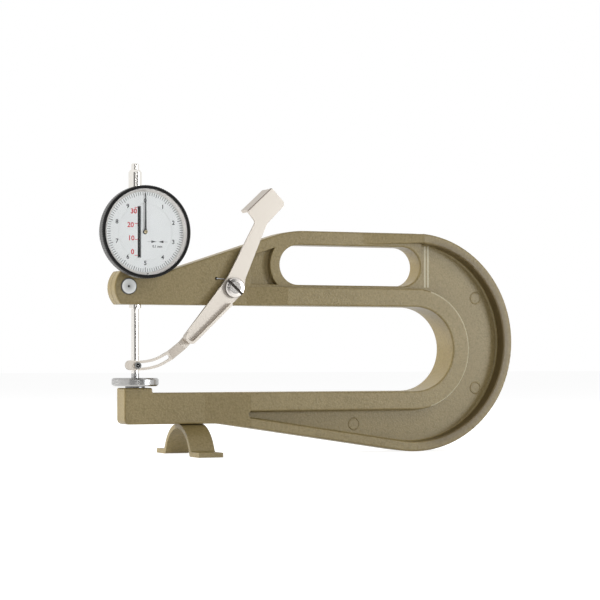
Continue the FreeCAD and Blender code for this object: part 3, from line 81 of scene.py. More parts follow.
class Finish:
    """A material with one shader. What its surface varies by is built from values."""

    def __init__(self, name, colour, roughness, metallic=0.0):
        self.material = bpy.data.materials.new(name)
        self.material.use_nodes = True
        self.tree = self.material.node_tree
        self.shader = self.tree.nodes["Principled BSDF"]
        self.place = self.node("TexCoord", output="Object")
        self.shader.inputs["Base Color"].default_value = colour
        self.shader.inputs["Roughness"].default_value = roughness
        self.shader.inputs["Metallic"].default_value = metallic

    def node(self, kind, settings=None, inputs=None, output=0):
        """Any node: its settings first, then the values or links of its sockets."""
        node = self.tree.nodes.new("ShaderNode" + kind)
        for name, setting in (settings or {}).items():
            if name == "stops":
                self.set_stops(node.color_ramp, setting)
            else:
                setattr(node, name, setting)
        for name, given in (inputs or {}).items():
            self.feed(node.inputs[name], given)
        return Value(self, node.outputs[output])

    def set_stops(self, ramp, stops):
        while len(ramp.elements) < len(stops):
            ramp.elements.new(0.5)
        for element, (position, colour) in zip(ramp.elements, stops):
            element.position = position
            element.color = colour

    def feed(self, socket, given):
        if isinstance(given, Value):
            self.tree.links.new(given.socket, socket)
        else:
            socket.default_value = given

    def set(self, name, given):
        self.feed(self.shader.inputs[name], given)

    def axes(self, place=None):
        """The X, Y and Z of a place as three values."""
        x = self.node("SeparateXYZ", None, {"Vector": place or self.place})
        return x, x.out("Y"), x.out("Z")

    def grain(self, size, detail=2.0, stretch=(1, 1, 1), turn=(0, 0, 0)):
        """Noise from 0 to 1 with features about that many metres across."""
        moved = self.node("Mapping", None, {"Vector": self.place, "Rotation": turn, "Scale": stretch})
        return self.node("TexNoise", None, {"Vector": moved, "Scale": 1 / size, "Detail": detail})

    def mix(self, factor, low, high):
        """A colour between two colours."""
        return self.node("Mix", {"data_type": "RGBA"}, {0: factor, 6: low, 7: high}, output=2)

    def spread(self, given, low, high):
        """A value from 0 to 1 stretched to go from low to high."""
        return given * (high - low) + low

    def bump(self, height, strength, depth):
        settings = {"Height": height, "Strength": strength, "Distance": depth}
        self.set("Normal", self.node("Bump", None, settings, output="Normal"))


def colour(red, green, blue):
    """A colour as a screen shows it, 0 to 255, as the linear colour of a shader."""
    linear = []
    for part in (red / 255, green / 255, blue / 255):
        linear.append(part / 12.92 if part <= 0.04045 else ((part + 0.055) / 1.055) ** 2.4)
    return (*linear, 1.0)


def dress(finish, *names):
    """Gives CAD nodes a finish of this file."""
    for name in names:
        for place in nodes[name].material_slots:
            place.material = finish.material


# Places of the bow, its rib, its rim and the handle's step, for the painted highlights and painted shade
# over them.
BOW_X = 0.07435
BOW_Z = 0.0728
THROAT_Z = 0.0683
RIB_REACH = 0.0399
RIB_FRONT = -0.0105
RIM_REACH = 0.0722
RIM_INNER = 0.0600
RIM_WIDTH = 0.0042
RIM_FRONT = -0.0045
RIM_FADE = 0.02
STEP_LINES = (0.0857, 0.0880)
STEP_LOW = 0.1097
STEP_HIGH = 0.1375
STEP_FRONT = -0.006
LINE_WIDTH = 0.0007
PITS_PER_METRE = 950.0
PAINTED_EDGE_HIGHLIGHT = colour(188, 179, 151)
PAINTED_RIM_SHADE = colour(92, 76, 44)


def share(given):
    """A value kept between 0 and 1."""
    return given.math("MAXIMUM", 0.0).math("MINIMUM", 1.0)


def near(given, place):
    """1 where a length is at the place, fading to 0 at 1.3 line widths from it."""
    return share(1.3 - (given - place).math("ABSOLUTE") / LINE_WIDTH)


def reach_from(x, z, centre_x, centre_z):
    """How far a place is from a centre in the side view."""
    across = x - centre_x
    up = z - centre_z
    return (across * across + up * up).math("SQRT")


def edge_lines(enamel):
    """Painted highlights where light catches a moulded edge: the rib of the bow and the handle's step."""
    x, y, z = enamel.axes()
    rib = near(reach_from(x, z, BOW_X, THROAT_Z), RIB_REACH)
    rib = rib * y.math("LESS_THAN", RIB_FRONT) * x.math("GREATER_THAN", STEP_LINES[0])
    steps = near(x, STEP_LINES[0]) + near(x, STEP_LINES[1])
    steps = steps * z.math("GREATER_THAN", STEP_LOW) * z.math("LESS_THAN", STEP_HIGH)
    steps = steps * y.math("LESS_THAN", 0.0) * y.math("GREATER_THAN", STEP_FRONT)
    return rib + steps


def rim_draft(enamel):
    """How much painted shade lies on the rim's front, standing in for the shade of its sloped side: it
    grows from the outer edge inwards.
    """
    x, y, z = enamel.axes()
    reach = reach_from(x, z, BOW_X, BOW_Z)
    inwards = share((RIM_REACH - reach) / RIM_WIDTH) * reach.math("GREATER_THAN", RIM_INNER)
    bow = share((x - BOW_X) / RIM_FADE)
    return inwards * bow * y.math("LESS_THAN", RIM_FRONT)


def hammered_enamel(name, light, dark):
    """Khaki enamel with pits a millimetre wide, soft blisters and a slow change of shade."""
    enamel = Finish(name, light, 0.45)
    pits = {"Vector": enamel.place, "Scale": PITS_PER_METRE}
    cells = enamel.node("TexVoronoi", {"feature": "SMOOTH_F1"}, pits)
    fine = enamel.grain(0.0006, 3.0)
    blister = enamel.grain(0.0017, 2.0)
    broad = enamel.grain(0.035, 2.0)
    speckle = cells.math("POWER", 1.5) + fine * 0.5 + (blister - 0.5) * 1.1
    shade = enamel.spread(speckle, 0.0, 0.8) + (broad - 0.5) * 0.5
    body = enamel.mix(shade, light, dark)
    # Painted shade on the rim's front, darker inwards from its outer edge.
    rim_shaded = enamel.mix(rim_draft(enamel) * 0.8, body, PAINTED_RIM_SHADE)
    # Painted highlights: a light line along the rib's edge and along the handle's step.
    enamel.set("Base Color", enamel.mix(edge_lines(enamel) * 0.9, rim_shaded, PAINTED_EDGE_HIGHLIGHT))
    enamel.set("Roughness", enamel.spread(fine, 0.38, 0.54))
    enamel.set("Coat Weight", 0.12)
    enamel.set("Coat Roughness", 0.3)
    enamel.bump(cells * 0.7 + fine * 0.4 + blister * 0.8, 0.6, 0.0003)
    return enamel


casting_paint = hammered_enamel("casting_paint", colour(140, 124, 83), colour(112, 96, 55))
dress(casting_paint, "frame")


# Casting marks: round witness rings that the pattern's pins leave in the web,
# two in the bow and one in the lower arm. They are cast in and painted over.
MARK_RADIUS = 0.0038
MARK_WIRE = 0.0005
MARK_FLATNESS = 0.7
MARK_SIDES = 8
MARK_STEPS = 40
WEB_FACE = -0.0035
MARK_PLACES = ((0.1240, 0.1029), (0.1240, 0.0420), (0.0333, 0.0187))


def as_object(name, shape, finish):
    """Makes an object of a finished bmesh."""
    mesh = bpy.data.meshes.new(name)
    shape.to_mesh(mesh)
    shape.free()
    mesh.materials.append(finish.material)
    thing = bpy.data.objects.new(name, mesh)
    bpy.context.scene.collection.objects.link(thing)
    return thing


def keep(name, shape, finish, body):
    """Makes a piece of the gauge, which rides on a body and has a material slot of the record."""
    bmesh.ops.recalc_face_normals(shape, faces=shape.faces)
    piece = as_object(name, shape, finish)
    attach(piece, body)
    return piece


def smooth(piece, angle=40):
    """Soft shading except over edges sharper than the angle."""
    piece.data.shade_smooth()
    piece.data.set_sharp_from_angle(angle=math.radians(angle))
    return piece


def facing_front(x, y, z):
    """Takes a flat drawing to a place on the dial side, upright and facing -Y."""
    return Matrix.Translation((x, y, z)) @ Matrix.Rotation(math.radians(90), 4, "X")


def turned_ring(shape, outline, steps, centre, axis=(0, 1, 0)):
    """Turns a closed outline of points about an axis through the centre."""
    corners = [shape.verts.new(point) for point in outline]
    ends = corners[1:] + corners[:1]
    edges = [shape.edges.new(pair) for pair in zip(corners, ends)]
    bmesh.ops.spin(shape, geom=corners + edges, cent=centre, axis=axis, dvec=(0, 0, 0), angle=math.tau,
                   steps=steps, use_merge=True)
    bmesh.ops.remove_doubles(shape, verts=shape.verts, dist=1e-7)


def cast_marks():
    marks = bmesh.new()
    for x, z in MARK_PLACES:
        outline = []
        for number in range(MARK_SIDES):
            turn = math.tau * number / MARK_SIDES
            across = x + MARK_RADIUS + MARK_WIRE * math.cos(turn)
            depth = WEB_FACE + MARK_WIRE * MARK_FLATNESS * math.sin(turn)
            outline.append((across, depth, z))
        turned_ring(marks, outline, MARK_STEPS, (x, WEB_FACE, z))
    return marks


smooth(keep("casting_marks", cast_marks(), casting_paint, "root"), 180)


# Handle blend: the handle's upper bar rises evenly to the front of the rim, so that
# no step shows where they meet. It is part of the casting and has the same enamel.
BLEND_LEFT = 0.0380
BLEND_RIGHT = 0.0813
BAR_FACE = -0.0082
BAR_SINK = 0.0014
RIM_FACE = -0.0128
BAR_LOW = 0.1374
RIM_LOW = 0.1391
BAR_HIGH = 0.1452
BLEND_ROUND = 0.0011


def handle_blend():
    """A long wedge on the bar whose two long front edges are rounded."""
    wedge = bmesh.new()
    back = BAR_FACE + BAR_SINK
    outline = ((BLEND_LEFT, BAR_FACE, BAR_LOW), (BLEND_RIGHT, RIM_FACE, RIM_LOW),
               (BLEND_RIGHT, back, RIM_LOW), (BLEND_LEFT, back, BAR_LOW))
    low = [wedge.verts.new(point) for point in outline]
    high = [wedge.verts.new((x, y, BAR_HIGH)) for x, y, z in outline]
    wedge.faces.new(low[::-1])
    wedge.faces.new(high)
    for number in range(4):
        wedge.faces.new((low[number], low[number - 3], high[number - 3], high[number]))
    front = [wedge.edges.get((ring[0], ring[1])) for ring in (low, high)]
    bmesh.ops.bevel(wedge, geom=front, offset=BLEND_ROUND, segments=4, profile=0.5, affect="EDGES")
    return wedge


smooth(keep("handle_blend", handle_blend(), casting_paint, "root"), 30)


# Foot: a strip bent to an arch with two turned-out ends, screwed under the lower arm.
# It is sprayed with the same enamel as the casting.
dress(casting_paint, "foot")


# Screws, stem and sleeve: turned steel, nickel plated. The lathe's fine rings show
# in the light and fade into each other.
def turned_metal(name, tint, roughness, centre, axis, ring=0.00018, depth=0.00002):
    """Metal turned about an axis, whose rings run around it. It keeps its radius and height."""
    metal = Finish(name, tint, roughness, 1.0)
    moved = metal.node("Mapping", {"vector_type": "TEXTURE"}, {"Vector": metal.place, "Location": centre})
    lengths = dict(zip("XYZ", metal.axes(moved)))
    height = lengths.pop(axis)
    across, along = lengths.values()
    radius = (across * across + along * along).math("SQRT")
    line = metal.node("CombineXYZ", None, {"X": radius, "Y": height, "Z": 0.0})
    rings = metal.node("TexNoise", None, {"Vector": line, "Scale": 1 / ring, "Detail": 2.0})
    cloud = metal.grain(0.006)
    metal.set("Roughness", metal.spread(rings * 0.6 + cloud * 0.4, roughness * 0.75, roughness * 1.3))
    metal.set("Base Color", metal.mix(cloud, tint, tuple(part * 0.9 for part in tint[:3]) + (1.0,)))
    metal.bump(rings, 0.25, depth)
    metal.radius = radius
    metal.height = height
    return metal


def middle(name):
    low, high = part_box(name)
    return (low + high) / 2


steel_tint = (0.88, 0.85, 0.80, 1.0)
spindle_axis = (middle("spindle").x, 0.0, 0.0)
plated_steel = turned_metal("plated_steel", steel_tint, 0.11, spindle_axis, "Z")
dress(plated_steel, "stem", "top_sleeve", "spindle", "foot_screw")
lift_steel = turned_metal("lift_steel", steel_tint, 0.2, middle("lift_pin"), "Y")
dress(lift_steel, "lift_pin")
clamp_tint = (0.80, 0.80, 0.78, 1.0)
clamp_steel = turned_metal("clamp_steel", clamp_tint, 0.3, middle("stem_clamp_screw"), "Y")
dress(clamp_steel, "stem_clamp_screw")

# The pin's face is painted bright but for a dark ring in it, and the clamp screw's face is painted bright
# between a dark middle and a dark edge: painted reflections, with a painted shadow at the clamp screw's
# edge.
PIN_REACH = 0.0024
PIN_PAINTED_LIGHT = ((0.0, 0.8), (0.14, 0.8), (0.22, 0.02), (0.50, 0.02), (0.56, 0.55))
CLAMP_REACH = 0.0051
CLAMP_PAINTED_LIGHT = ((0.0, 0.01), (0.10, 0.01), (0.20, 0.66), (0.88, 0.92), (0.95, 0.10))


def blacken(metal, reach, stops):
    """Colours a turned face by the distance from its axis, as a share of the reach."""
    shades = [(position, (shade, shade, shade * 0.97, 1.0)) for position, shade in stops]
    metal.set("Base Color", metal.node("ValToRGB", {"stops": shades}, {0: metal.radius / reach}))


blacken(lift_steel, PIN_REACH, PIN_PAINTED_LIGHT)
blacken(clamp_steel, CLAMP_REACH, CLAMP_PAINTED_LIGHT)


# Measuring faces: the anvil pin and the wide contact disc are hardened and lapped steel.
# Hardening leaves both greyer than the plated parts. The anvil pin is painted darker than the disc, as
# painted shade for the deep shadow under the disc.
disc_tint = (0.42, 0.415, 0.405, 1.0)
hardened_steel = turned_metal("hardened_steel", disc_tint, 0.22, spindle_axis, "Z", 0.0003)
dress(hardened_steel, "contact_disc")
# Painted shade: the anvil's near-black tint stands for the shadow under the disc.
anvil_painted_shade = turned_metal("anvil_painted_shade", (0.20, 0.20, 0.20, 1.0), 0.25, spindle_axis, "Z")
dress(anvil_painted_shade, "anvil")


# Lever: a stamped sheet with a thumb pad, a folded lip and a stiffening flange.
# Satin nickel plate, brushed along the arm before plating.
ARM_LEAN = math.radians(45)


def brushed_metal(name, tint, roughness, turn, size=0.00025):
    """Metal brushed along a line in the side view that leans by an angle."""
    metal = Finish(name, tint, roughness, 1.0)
    strokes = metal.grain(size, 3.0, (0.02, 1, 1), (0, turn, 0))
    cloud = metal.grain(0.012)
    metal.set("Roughness", metal.spread(strokes * 0.7 + cloud * 0.3, roughness * 0.8, roughness * 1.25))
    metal.set("Base Color", metal.mix(strokes, tint, tuple(part * 0.88 for part in tint[:3]) + (1.0,)))
    metal.bump(strokes, 0.18, 0.00002)
    return metal


nickel_tint = (0.55, 0.50, 0.44, 1.0)
nickel_sheet = brushed_metal("nickel_sheet", nickel_tint, 0.45, ARM_LEAN)
dress(nickel_sheet, "lifting_strip")

# The lever's own finish is the same plate, with a painted shadow along the fold of the lip. The fold
# runs through a point at a lean of 15.5 mm up for 16.8 mm across.
FOLD_X = -0.04645
FOLD_Z = 0.1573
FOLD_LEAN = math.atan2(15.5, 16.8)
FOLD_FRONT = -0.0127
FOLD_SHIFT = 0.0003
FOLD_WIDTH = 0.00045
FOLD_SHADOW = (0.12, 0.09, 0.07, 1.0)


def fold_dust(metal):
    """How much painted shadow lies at a place: a narrow line along the fold, on the front side only."""
    x, y, z = metal.axes()
    offset = (x - FOLD_X) * math.sin(FOLD_LEAN) - (z - FOLD_Z) * math.cos(FOLD_LEAN)
    line = share(1.4 - (offset - FOLD_SHIFT).math("ABSOLUTE") / FOLD_WIDTH)
    return line * y.math("LESS_THAN", FOLD_FRONT)


lever_sheet = brushed_metal("lever_sheet", nickel_tint, 0.45, ARM_LEAN)
# Painted shadow: the fold's line is darkened nearly to black.
lever_sheet.set("Base Color", lever_sheet.mix(fold_dust(lever_sheet) * 0.85, nickel_tint, FOLD_SHADOW))
dress(lever_sheet, "lever")


# Lever pivot: a shouldered screw with a wide slotted head and a spacer behind the plate.
# Turned and nickel plated, with a finer finish than the sheet. The slot is painted dark inside, as painted
# shade in its recess.
SLOT_START = 0.0006
SLOT_FADE = 0.0004
SLOT_PAINTED_SHADE = (0.10, 0.09, 0.08, 1.0)
pivot_tint = (0.74, 0.70, 0.66, 1.0)
pivot_low, pivot_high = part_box("lever_pivot_screw")
pivot_half = (pivot_high.y - pivot_low.y) / 2
pivot_steel = turned_metal("pivot_steel", pivot_tint, 0.22, middle("lever_pivot_screw"), "Y")
# Painted shade: the colour darkens with depth into the slot.
slot_depth = share((pivot_steel.height + pivot_half - SLOT_START) / SLOT_FADE)
pivot_steel.set("Base Color", pivot_steel.mix(slot_depth, pivot_tint, SLOT_PAINTED_SHADE))
dress(pivot_steel, "lever_pivot_screw", "pivot_spacer")


# Case: a deep cup of satin metal behind the dial, closed at the back by a cover
# with four screws. Fine turned lines run round its side and its cover.
dial_middle = middle("gauge_case")
case_metal = turned_metal("case_metal", (0.80, 0.80, 0.80, 1.0), 0.26, dial_middle, "Y", 0.00025)
dress(case_metal, "gauge_case", "case_back_cover")
dress(plated_steel, "back_cover_screws")


# Bezel: a black turning rim with a straight knurl round its side and a smooth lip
# over the crystal. Anodised or lacquered, with a low sheen.
RIDGES = 120
STEPS_PER_RIDGE = 3
GROOVE_DEPTH = 0.00028
KNURL_MARGIN = 0.0011
BAND_SINK = 0.0006
BAND_RISE = 0.00002


def satin_black(name, shade, metallic=0.0):
    black = Finish(name, shade, 0.3, metallic)
    fine = black.grain(0.0004, 3.0)
    cloud = black.grain(0.01)
    lighter = tuple(part * 1.6 for part in shade[:3]) + (1.0,)
    black.set("Base Color", black.mix(fine * 0.6 + cloud * 0.4, shade, lighter))
    black.set("Roughness", black.spread(fine, 0.24, 0.4))
    black.set("Specular IOR Level", 0.2)
    black.bump(fine, 0.2, 0.00004)
    return black


bezel_black = satin_black("bezel_black", colour(16, 15, 15))
knurl_grey = satin_black("knurl_grey", colour(64, 63, 61), 0.85)
dress(bezel_black, "bezel")


def knurl_band():
    """A toothed band set round the bezel's side, just proud of it."""
    low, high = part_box("bezel")
    centre = (low + high) / 2
    outer = (high.x - low.x) / 2
    back = high.y - KNURL_MARGIN
    front = low.y + KNURL_MARGIN
    half = ((outer - BAND_SINK, 0.0), (outer + BAND_RISE, 0.0), (outer + GROOVE_DEPTH, GROOVE_DEPTH))
    outline = [(centre.x + reach, back - inset, centre.z) for reach, inset in half]
    outline += [(centre.x + reach, front + inset, centre.z) for reach, inset in half[::-1]]
    steps = RIDGES * STEPS_PER_RIDGE
    band = bmesh.new()
    turned_ring(band, outline, steps, centre)
    grooves = []
    for corner in band.verts:
        flat = Vector((corner.co.x - centre.x, corner.co.z - centre.z))
        step = round(math.atan2(flat.y, flat.x) / math.tau * steps)
        if flat.length > outer + GROOVE_DEPTH / 2 and step % STEPS_PER_RIDGE == 0:
            grooves.append(corner)
    shrink = outer / (outer + GROOVE_DEPTH)
    bmesh.ops.scale(band, vec=(shrink, 1, shrink), space=Matrix.Translation(-centre), verts=grooves)
    return band


smooth(keep("bezel_knurl", knurl_band(), knurl_grey, "bezel"), 25)


# Dial: two white lacquered plates. The outer one turns with the bezel and carries
# a hundred divisions, and the inner one has the slot of the travel scale. A bright
# ring stands round them under the crystal.
def dial_lacquer(name, shade):
    lacquer = Finish(name, shade, 0.45)
    fine = lacquer.grain(0.0003, 2.0)
    cloud = lacquer.grain(0.008)
    lacquer.set("Base Color", lacquer.mix(cloud * 0.7 + fine * 0.3, shade, colour(217, 219, 219)))
    lacquer.set("Roughness", lacquer.spread(fine, 0.4, 0.55))
    lacquer.bump(fine, 0.1, 0.00002)
    return lacquer


dial_white = dial_lacquer("dial_white", colour(227, 229, 228))
dress(dial_white, "outer_scale", "inner_dial")
crystal_edge = turned_metal("crystal_edge", (0.74, 0.71, 0.68, 1.0), 0.4, dial_middle, "Y")
dress(crystal_edge, "crystal_ring")


def printing_ink(name, shade):
    ink = Finish(name, shade, 0.5)
    fine = ink.grain(0.0002)
    lighter = tuple(part + 0.03 for part in shade[:3]) + (1.0,)
    ink.set("Base Color", ink.mix(fine * 0.4, shade, lighter))
    ink.set("Roughness", ink.spread(fine, 0.42, 0.6))
    return ink


black_ink = printing_ink("black_ink", colour(28, 28, 32))
red_ink = printing_ink("red_ink", colour(206, 30, 44))

# Printed marks of the outer plate: ticks near its edge and a numeral at each tenth.
# They are drawn in black ink a hair above the lacquer.
INK_DEPTH = 0.00003
DIVISIONS = 100
TICK_RADIUS = 0.0251
TICK_LENGTH = 0.0021
FIFTH_LENGTH = 0.0024
TENTH_LENGTH = 0.0028
TICK_WIDTH = 0.00028
FIFTH_WIDTH = 0.00036
DIGIT_RADIUS = 0.0196
DIGIT_HEIGHT = 0.0026
DIGIT_WEIGHT = 0.035
CAPITAL_SHARE = 0.7
dial_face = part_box("outer_scale")[0].y
dial_x = middle("outer_scale").x
dial_z = middle("outer_scale").z


def bar_mark(shape, x, z, width, height, turn=0.0, rise=INK_DEPTH):
    """A printed bar about a place on the dial, turned clockwise."""
    lean = Matrix.Rotation(-turn, 4, "Z")
    size = Matrix.Diagonal((width / 2, height / 2, 1, 1))
    where = facing_front(x, dial_face - rise, z) @ lean @ size
    bmesh.ops.create_grid(shape, x_segments=1, y_segments=1, size=1, matrix=where)


def lettering(shape, text, height, x, z):
    """Upright lettering whose middle is at a place on the dial."""
    curve = bpy.data.curves.new("lettering", "FONT")
    curve.body = text
    curve.size = height / CAPITAL_SHARE
    curve.align_x = "CENTER"
    curve.align_y = "CENTER"
    curve.resolution_u = 4
    curve.offset = height * DIGIT_WEIGHT
    holder = bpy.data.objects.new("lettering", curve)
    mesh = bpy.data.meshes.new_from_object(holder)
    mesh.transform(facing_front(x, dial_face - INK_DEPTH, z))
    shape.from_mesh(mesh)
    bpy.data.objects.remove(holder)
    bpy.data.curves.remove(curve)
    bpy.data.meshes.remove(mesh)


def print_on(name, shape, ink, body):
    """Ink with a hair of thickness, which faces the front."""
    bmesh.ops.solidify(shape, geom=shape.faces[:], thickness=INK_DEPTH)
    return keep(name, shape, ink, body)


def outer_marks():
    marks = bmesh.new()
    for number in range(DIVISIONS):
        turn = math.tau * number / DIVISIONS
        fifth = number % 5 == 0
        length = TENTH_LENGTH if number % 10 == 0 else FIFTH_LENGTH if fifth else TICK_LENGTH
        width = FIFTH_WIDTH if fifth else TICK_WIDTH
        reach = TICK_RADIUS - length / 2
        x = dial_x + reach * math.sin(turn)
        z = dial_z + reach * math.cos(turn)
        bar_mark(marks, x, z, width, length, turn)
    for number in range(10):
        turn = math.tau * number / 10
        x = dial_x + DIGIT_RADIUS * math.sin(turn)
        z = dial_z + DIGIT_RADIUS * math.cos(turn)
        lettering(marks, str(number), DIGIT_HEIGHT, x, z)
    return marks


print_on("outer_scale_marks", outer_marks(), black_ink, "bezel")


# Index: a short black mark at the foot of the bright ring under the crystal, printed
# where the ring meets the lip.
INDEX_ACROSS = 0.0009
INDEX_DROP = 0.0264
INDEX_WIDTH = 0.0010
INDEX_HEIGHT = 0.0009
INDEX_RISE = 0.0023


def ring_index():
    marks = bmesh.new()
    bar_mark(marks, dial_x + INDEX_ACROSS, dial_z - INDEX_DROP, INDEX_WIDTH, INDEX_HEIGHT, rise=INDEX_RISE)
    return marks


print_on("ring_index", ring_index(), black_ink, "bezel")


# Seam ring: a pale paper shim that closes the gap between the two plates. It sits a
# little deeper than they do and leaves the outer plate free to turn.
SEAM_INNER = 0.01763
SEAM_OUTER = 0.01787
SEAM_FRONT = 0.00012
SEAM_BACK = 0.0003
SEAM_STEPS = 120


def seam_ring():
    shim = bmesh.new()
    front = dial_face + SEAM_FRONT
    back = dial_face + SEAM_BACK
    inner = dial_x + SEAM_INNER
    outer = dial_x + SEAM_OUTER
    outline = [(inner, back, dial_z), (inner, front, dial_z), (outer, front, dial_z), (outer, back, dial_z)]
    turned_ring(shim, outline, SEAM_STEPS, (dial_x, front, dial_z))
    return shim


smooth(keep("seam_ring", seam_ring(), dial_white, "root"), 30)


# Printed marks of the inner plate: the travel scale in red left of the slot, ten
# millimetres a step, and in black the two arrows, the unit and the slot's edges.
SCALE_ZERO = -0.0148
SCALE_STEP = 0.0100
SCALE_GAP = 0.0012
SCALE_BAR = (0.0020, 0.00035)
SCALE_DIGIT = 0.0030
DIGIT_PLACES = ((-0.0084, 0.0021), (-0.0093, 0.0007), (-0.0097, -0.0010), (-0.0076, -0.0024))
SLOT_LEFT = -0.0048
SLOT_RIGHT = -0.0032
SLOT_HEIGHT = 0.0324
LEFT_EDGE = 0.0002
RIGHT_EDGE = 0.0004
ARROW_DROP = 0.0060
UNIT_DROP = 0.0090
UNIT_HEIGHT = 0.0015


def travel_marks():
    marks = bmesh.new()
    for number, (across, rise) in enumerate(DIGIT_PLACES):
        z = dial_z + SCALE_ZERO + SCALE_STEP * number
        bar_mark(marks, dial_x + SLOT_LEFT - SCALE_GAP, z, *SCALE_BAR)
        lettering(marks, str(10 * number), SCALE_DIGIT, dial_x + across, z + rise)
    return marks


print_on("travel_scale_marks", travel_marks(), red_ink, "root")


def arrow(shape, x, z, way):
    """A solid arrow head with a thin shaft behind it, pointing to the left or to the right."""
    head = facing_front(x, dial_face - INK_DEPTH, z)
    points = [(way * 0.0016, 0.0), (-way * 0.0017, 0.0008), (-way * 0.0017, -0.0008)]
    corners = [shape.verts.new(head @ Vector((across, up, 0))) for across, up in points[::way]]
    shape.faces.new(corners)
    bar_mark(shape, x - way * 0.0012, z, 0.0060, 0.00012)


def unit_marks():
    marks = bmesh.new()
    arrow(marks, dial_x + 0.0057, dial_z - ARROW_DROP, 1)
    arrow(marks, dial_x + 0.0103, dial_z - ARROW_DROP, -1)
    lettering(marks, "0.1 mm", UNIT_HEIGHT, dial_x + 0.0080, dial_z - UNIT_DROP)
    bar_mark(marks, dial_x + SLOT_LEFT - LEFT_EDGE / 2, dial_z, LEFT_EDGE, SLOT_HEIGHT)
    bar_mark(marks, dial_x + SLOT_RIGHT + RIGHT_EDGE / 2, dial_z, RIGHT_EDGE, SLOT_HEIGHT)
    return marks


print_on("unit_marks", unit_marks(), black_ink, "root")


# Pointer, hub and travel marker: blackened steel on a bright hub, and a small flag
# that runs in the slot with the spindle.
pointer_black = satin_black("pointer_black", colour(24, 24, 26))
dress(pointer_black, "pointer", "travel_marker")
hub_steel = turned_metal("hub_steel", (0.70, 0.58, 0.36, 1.0), 0.25, dial_middle, "Y")
dress(hub_steel, "pointer_hub", "centre_arbor")


# Crystal: a flat clear disc pressed into the bezel. It adds only a faint gloss.
def clear_disc(name):
    clear = Finish(name, (1, 1, 1, 1), 0.04)
    cloud = clear.grain(0.01)
    clear.set("Roughness", clear.spread(cloud, 0.02, 0.06))
    clear.set("Alpha", 0.02)
    return clear


clear_crystal = clear_disc("clear_crystal")
dress(clear_crystal, "crystal")


# Movement: two brass plates on pillars, with the pinion, the gears and the slide that
# keeps the spindle from turning. Machined brass; the front plate is painted black, as painted
# shade for the dark inside seen through the dial's slot.
def machined_brass(name):
    brass = Finish(name, (0.72, 0.52, 0.24, 1.0), 0.3, 1.0)
    strokes = brass.grain(0.0002, 3.0, (1, 1, 0.03))
    cloud = brass.grain(0.005)
    brass.set("Base Color", brass.mix(cloud, (0.74, 0.54, 0.26, 1.0), (0.60, 0.42, 0.18, 1.0)))
    brass.set("Roughness", brass.spread(strokes, 0.22, 0.4))
    brass.bump(strokes, 0.2, 0.00002)
    return brass


movement_brass = machined_brass("movement_brass")
dress(movement_brass, "movement_back_plate", "movement_pillars", "movement_standoffs", "drive_gear",
      "centre_gear", "slide_carrier", "guide_rail")
# Painted shade: the front plate wears the pointer's black, for the dark seen through the slot.
dress(pointer_black, "movement_front_plate")
movement_steel = turned_metal("movement_steel", (0.58, 0.58, 0.60, 1.0), 0.22, dial_middle, "Y")
dress(movement_steel, "movement_screws", "rack_pinion", "spring_post")


# Springs: bright hard-drawn wire. The long one pulls the spindle down, the round one
# brings the lever back, and the thin ring keeps the bezel on the case.
def spring_wire(name):
    wire = Finish(name, (0.55, 0.56, 0.58, 1.0), 0.28, 1.0)
    drawn = wire.grain(0.0003, 2.0)
    wire.set("Roughness", wire.spread(drawn, 0.2, 0.38))
    wire.set("Base Color", wire.mix(drawn, (0.58, 0.59, 0.61, 1.0), (0.44, 0.45, 0.48, 1.0)))
    wire.bump(drawn, 0.15, 0.00001)
    return wire


spring_steel = spring_wire("spring_steel")
dress(spring_steel, "return_spring", "lever_spring", "bezel_wire")


# Stage: a pale floor that takes the shadow, in front of a white surround that metal
# and glass also see. It isn't part of the object.
FLOOR_REACH = 6.0


def stage_floor():
    floor = Finish("stage_floor", colour(236, 236, 234), 0.8)
    camera_rays = floor.node("LightPath", output="Is Camera Ray")
    rays = camera_rays.math("MAXIMUM", camera_rays.out("Is Glossy Ray"))
    glow = floor.node("Emission", None, {"Color": (1, 1, 1, 1), "Strength": 0.85}, output="Emission")
    shadow = floor.node("BsdfDiffuse", None, {"Color": (0.42, 0.42, 0.42, 1.0)}, output="BSDF")
    lit = floor.node("AddShader", None, {0: glow, 1: shadow}, output="Shader")
    plain = Value(floor, floor.shader.outputs["BSDF"])
    surface = floor.node("MixShader", None, {0: rays, 1: plain, 2: lit}, output="Shader")
    floor.feed(floor.tree.nodes["Material Output"].inputs["Surface"], surface)
    shape = bmesh.new()
    bmesh.ops.create_grid(shape, x_segments=4, y_segments=4, size=FLOOR_REACH)
    as_object("stage_floor", shape, floor)


stage_floor()


def studio_world(ambient):
    """Even light on the object, and white wherever the camera, gloss or glass looks past it."""
    world = bpy.data.worlds.new("studio")
    bpy.context.scene.world = world
    world.use_nodes = True
    tree = world.node_tree
    plain = tree.nodes["Background"]
    plain.inputs["Strength"].default_value = ambient
    plain.inputs["Color"].default_value = (1, 1, 1, 1)
    seen = tree.nodes.new("ShaderNodeBackground")
    seen.inputs["Strength"].default_value = 1.0
    seen.inputs["Color"].default_value = (1, 1, 1, 1)
    rays = tree.nodes.new("ShaderNodeLightPath")
    first = tree.nodes.new("ShaderNodeMath")
    first.operation = "MAXIMUM"
    second = tree.nodes.new("ShaderNodeMath")
    second.operation = "MAXIMUM"
    tree.links.new(rays.outputs["Is Camera Ray"], first.inputs[0])
    tree.links.new(rays.outputs["Is Glossy Ray"], first.inputs[1])
    tree.links.new(first.outputs[0], second.inputs[0])
    tree.links.new(rays.outputs["Is Transmission Ray"], second.inputs[1])
    mix = tree.nodes.new("ShaderNodeMixShader")
    tree.links.new(second.outputs[0], mix.inputs[0])
    tree.links.new(plain.outputs["Background"], mix.inputs[1])
    tree.links.new(seen.outputs["Background"], mix.inputs[2])
    tree.links.new(mix.outputs["Shader"], tree.nodes["World Output"].inputs["Surface"])


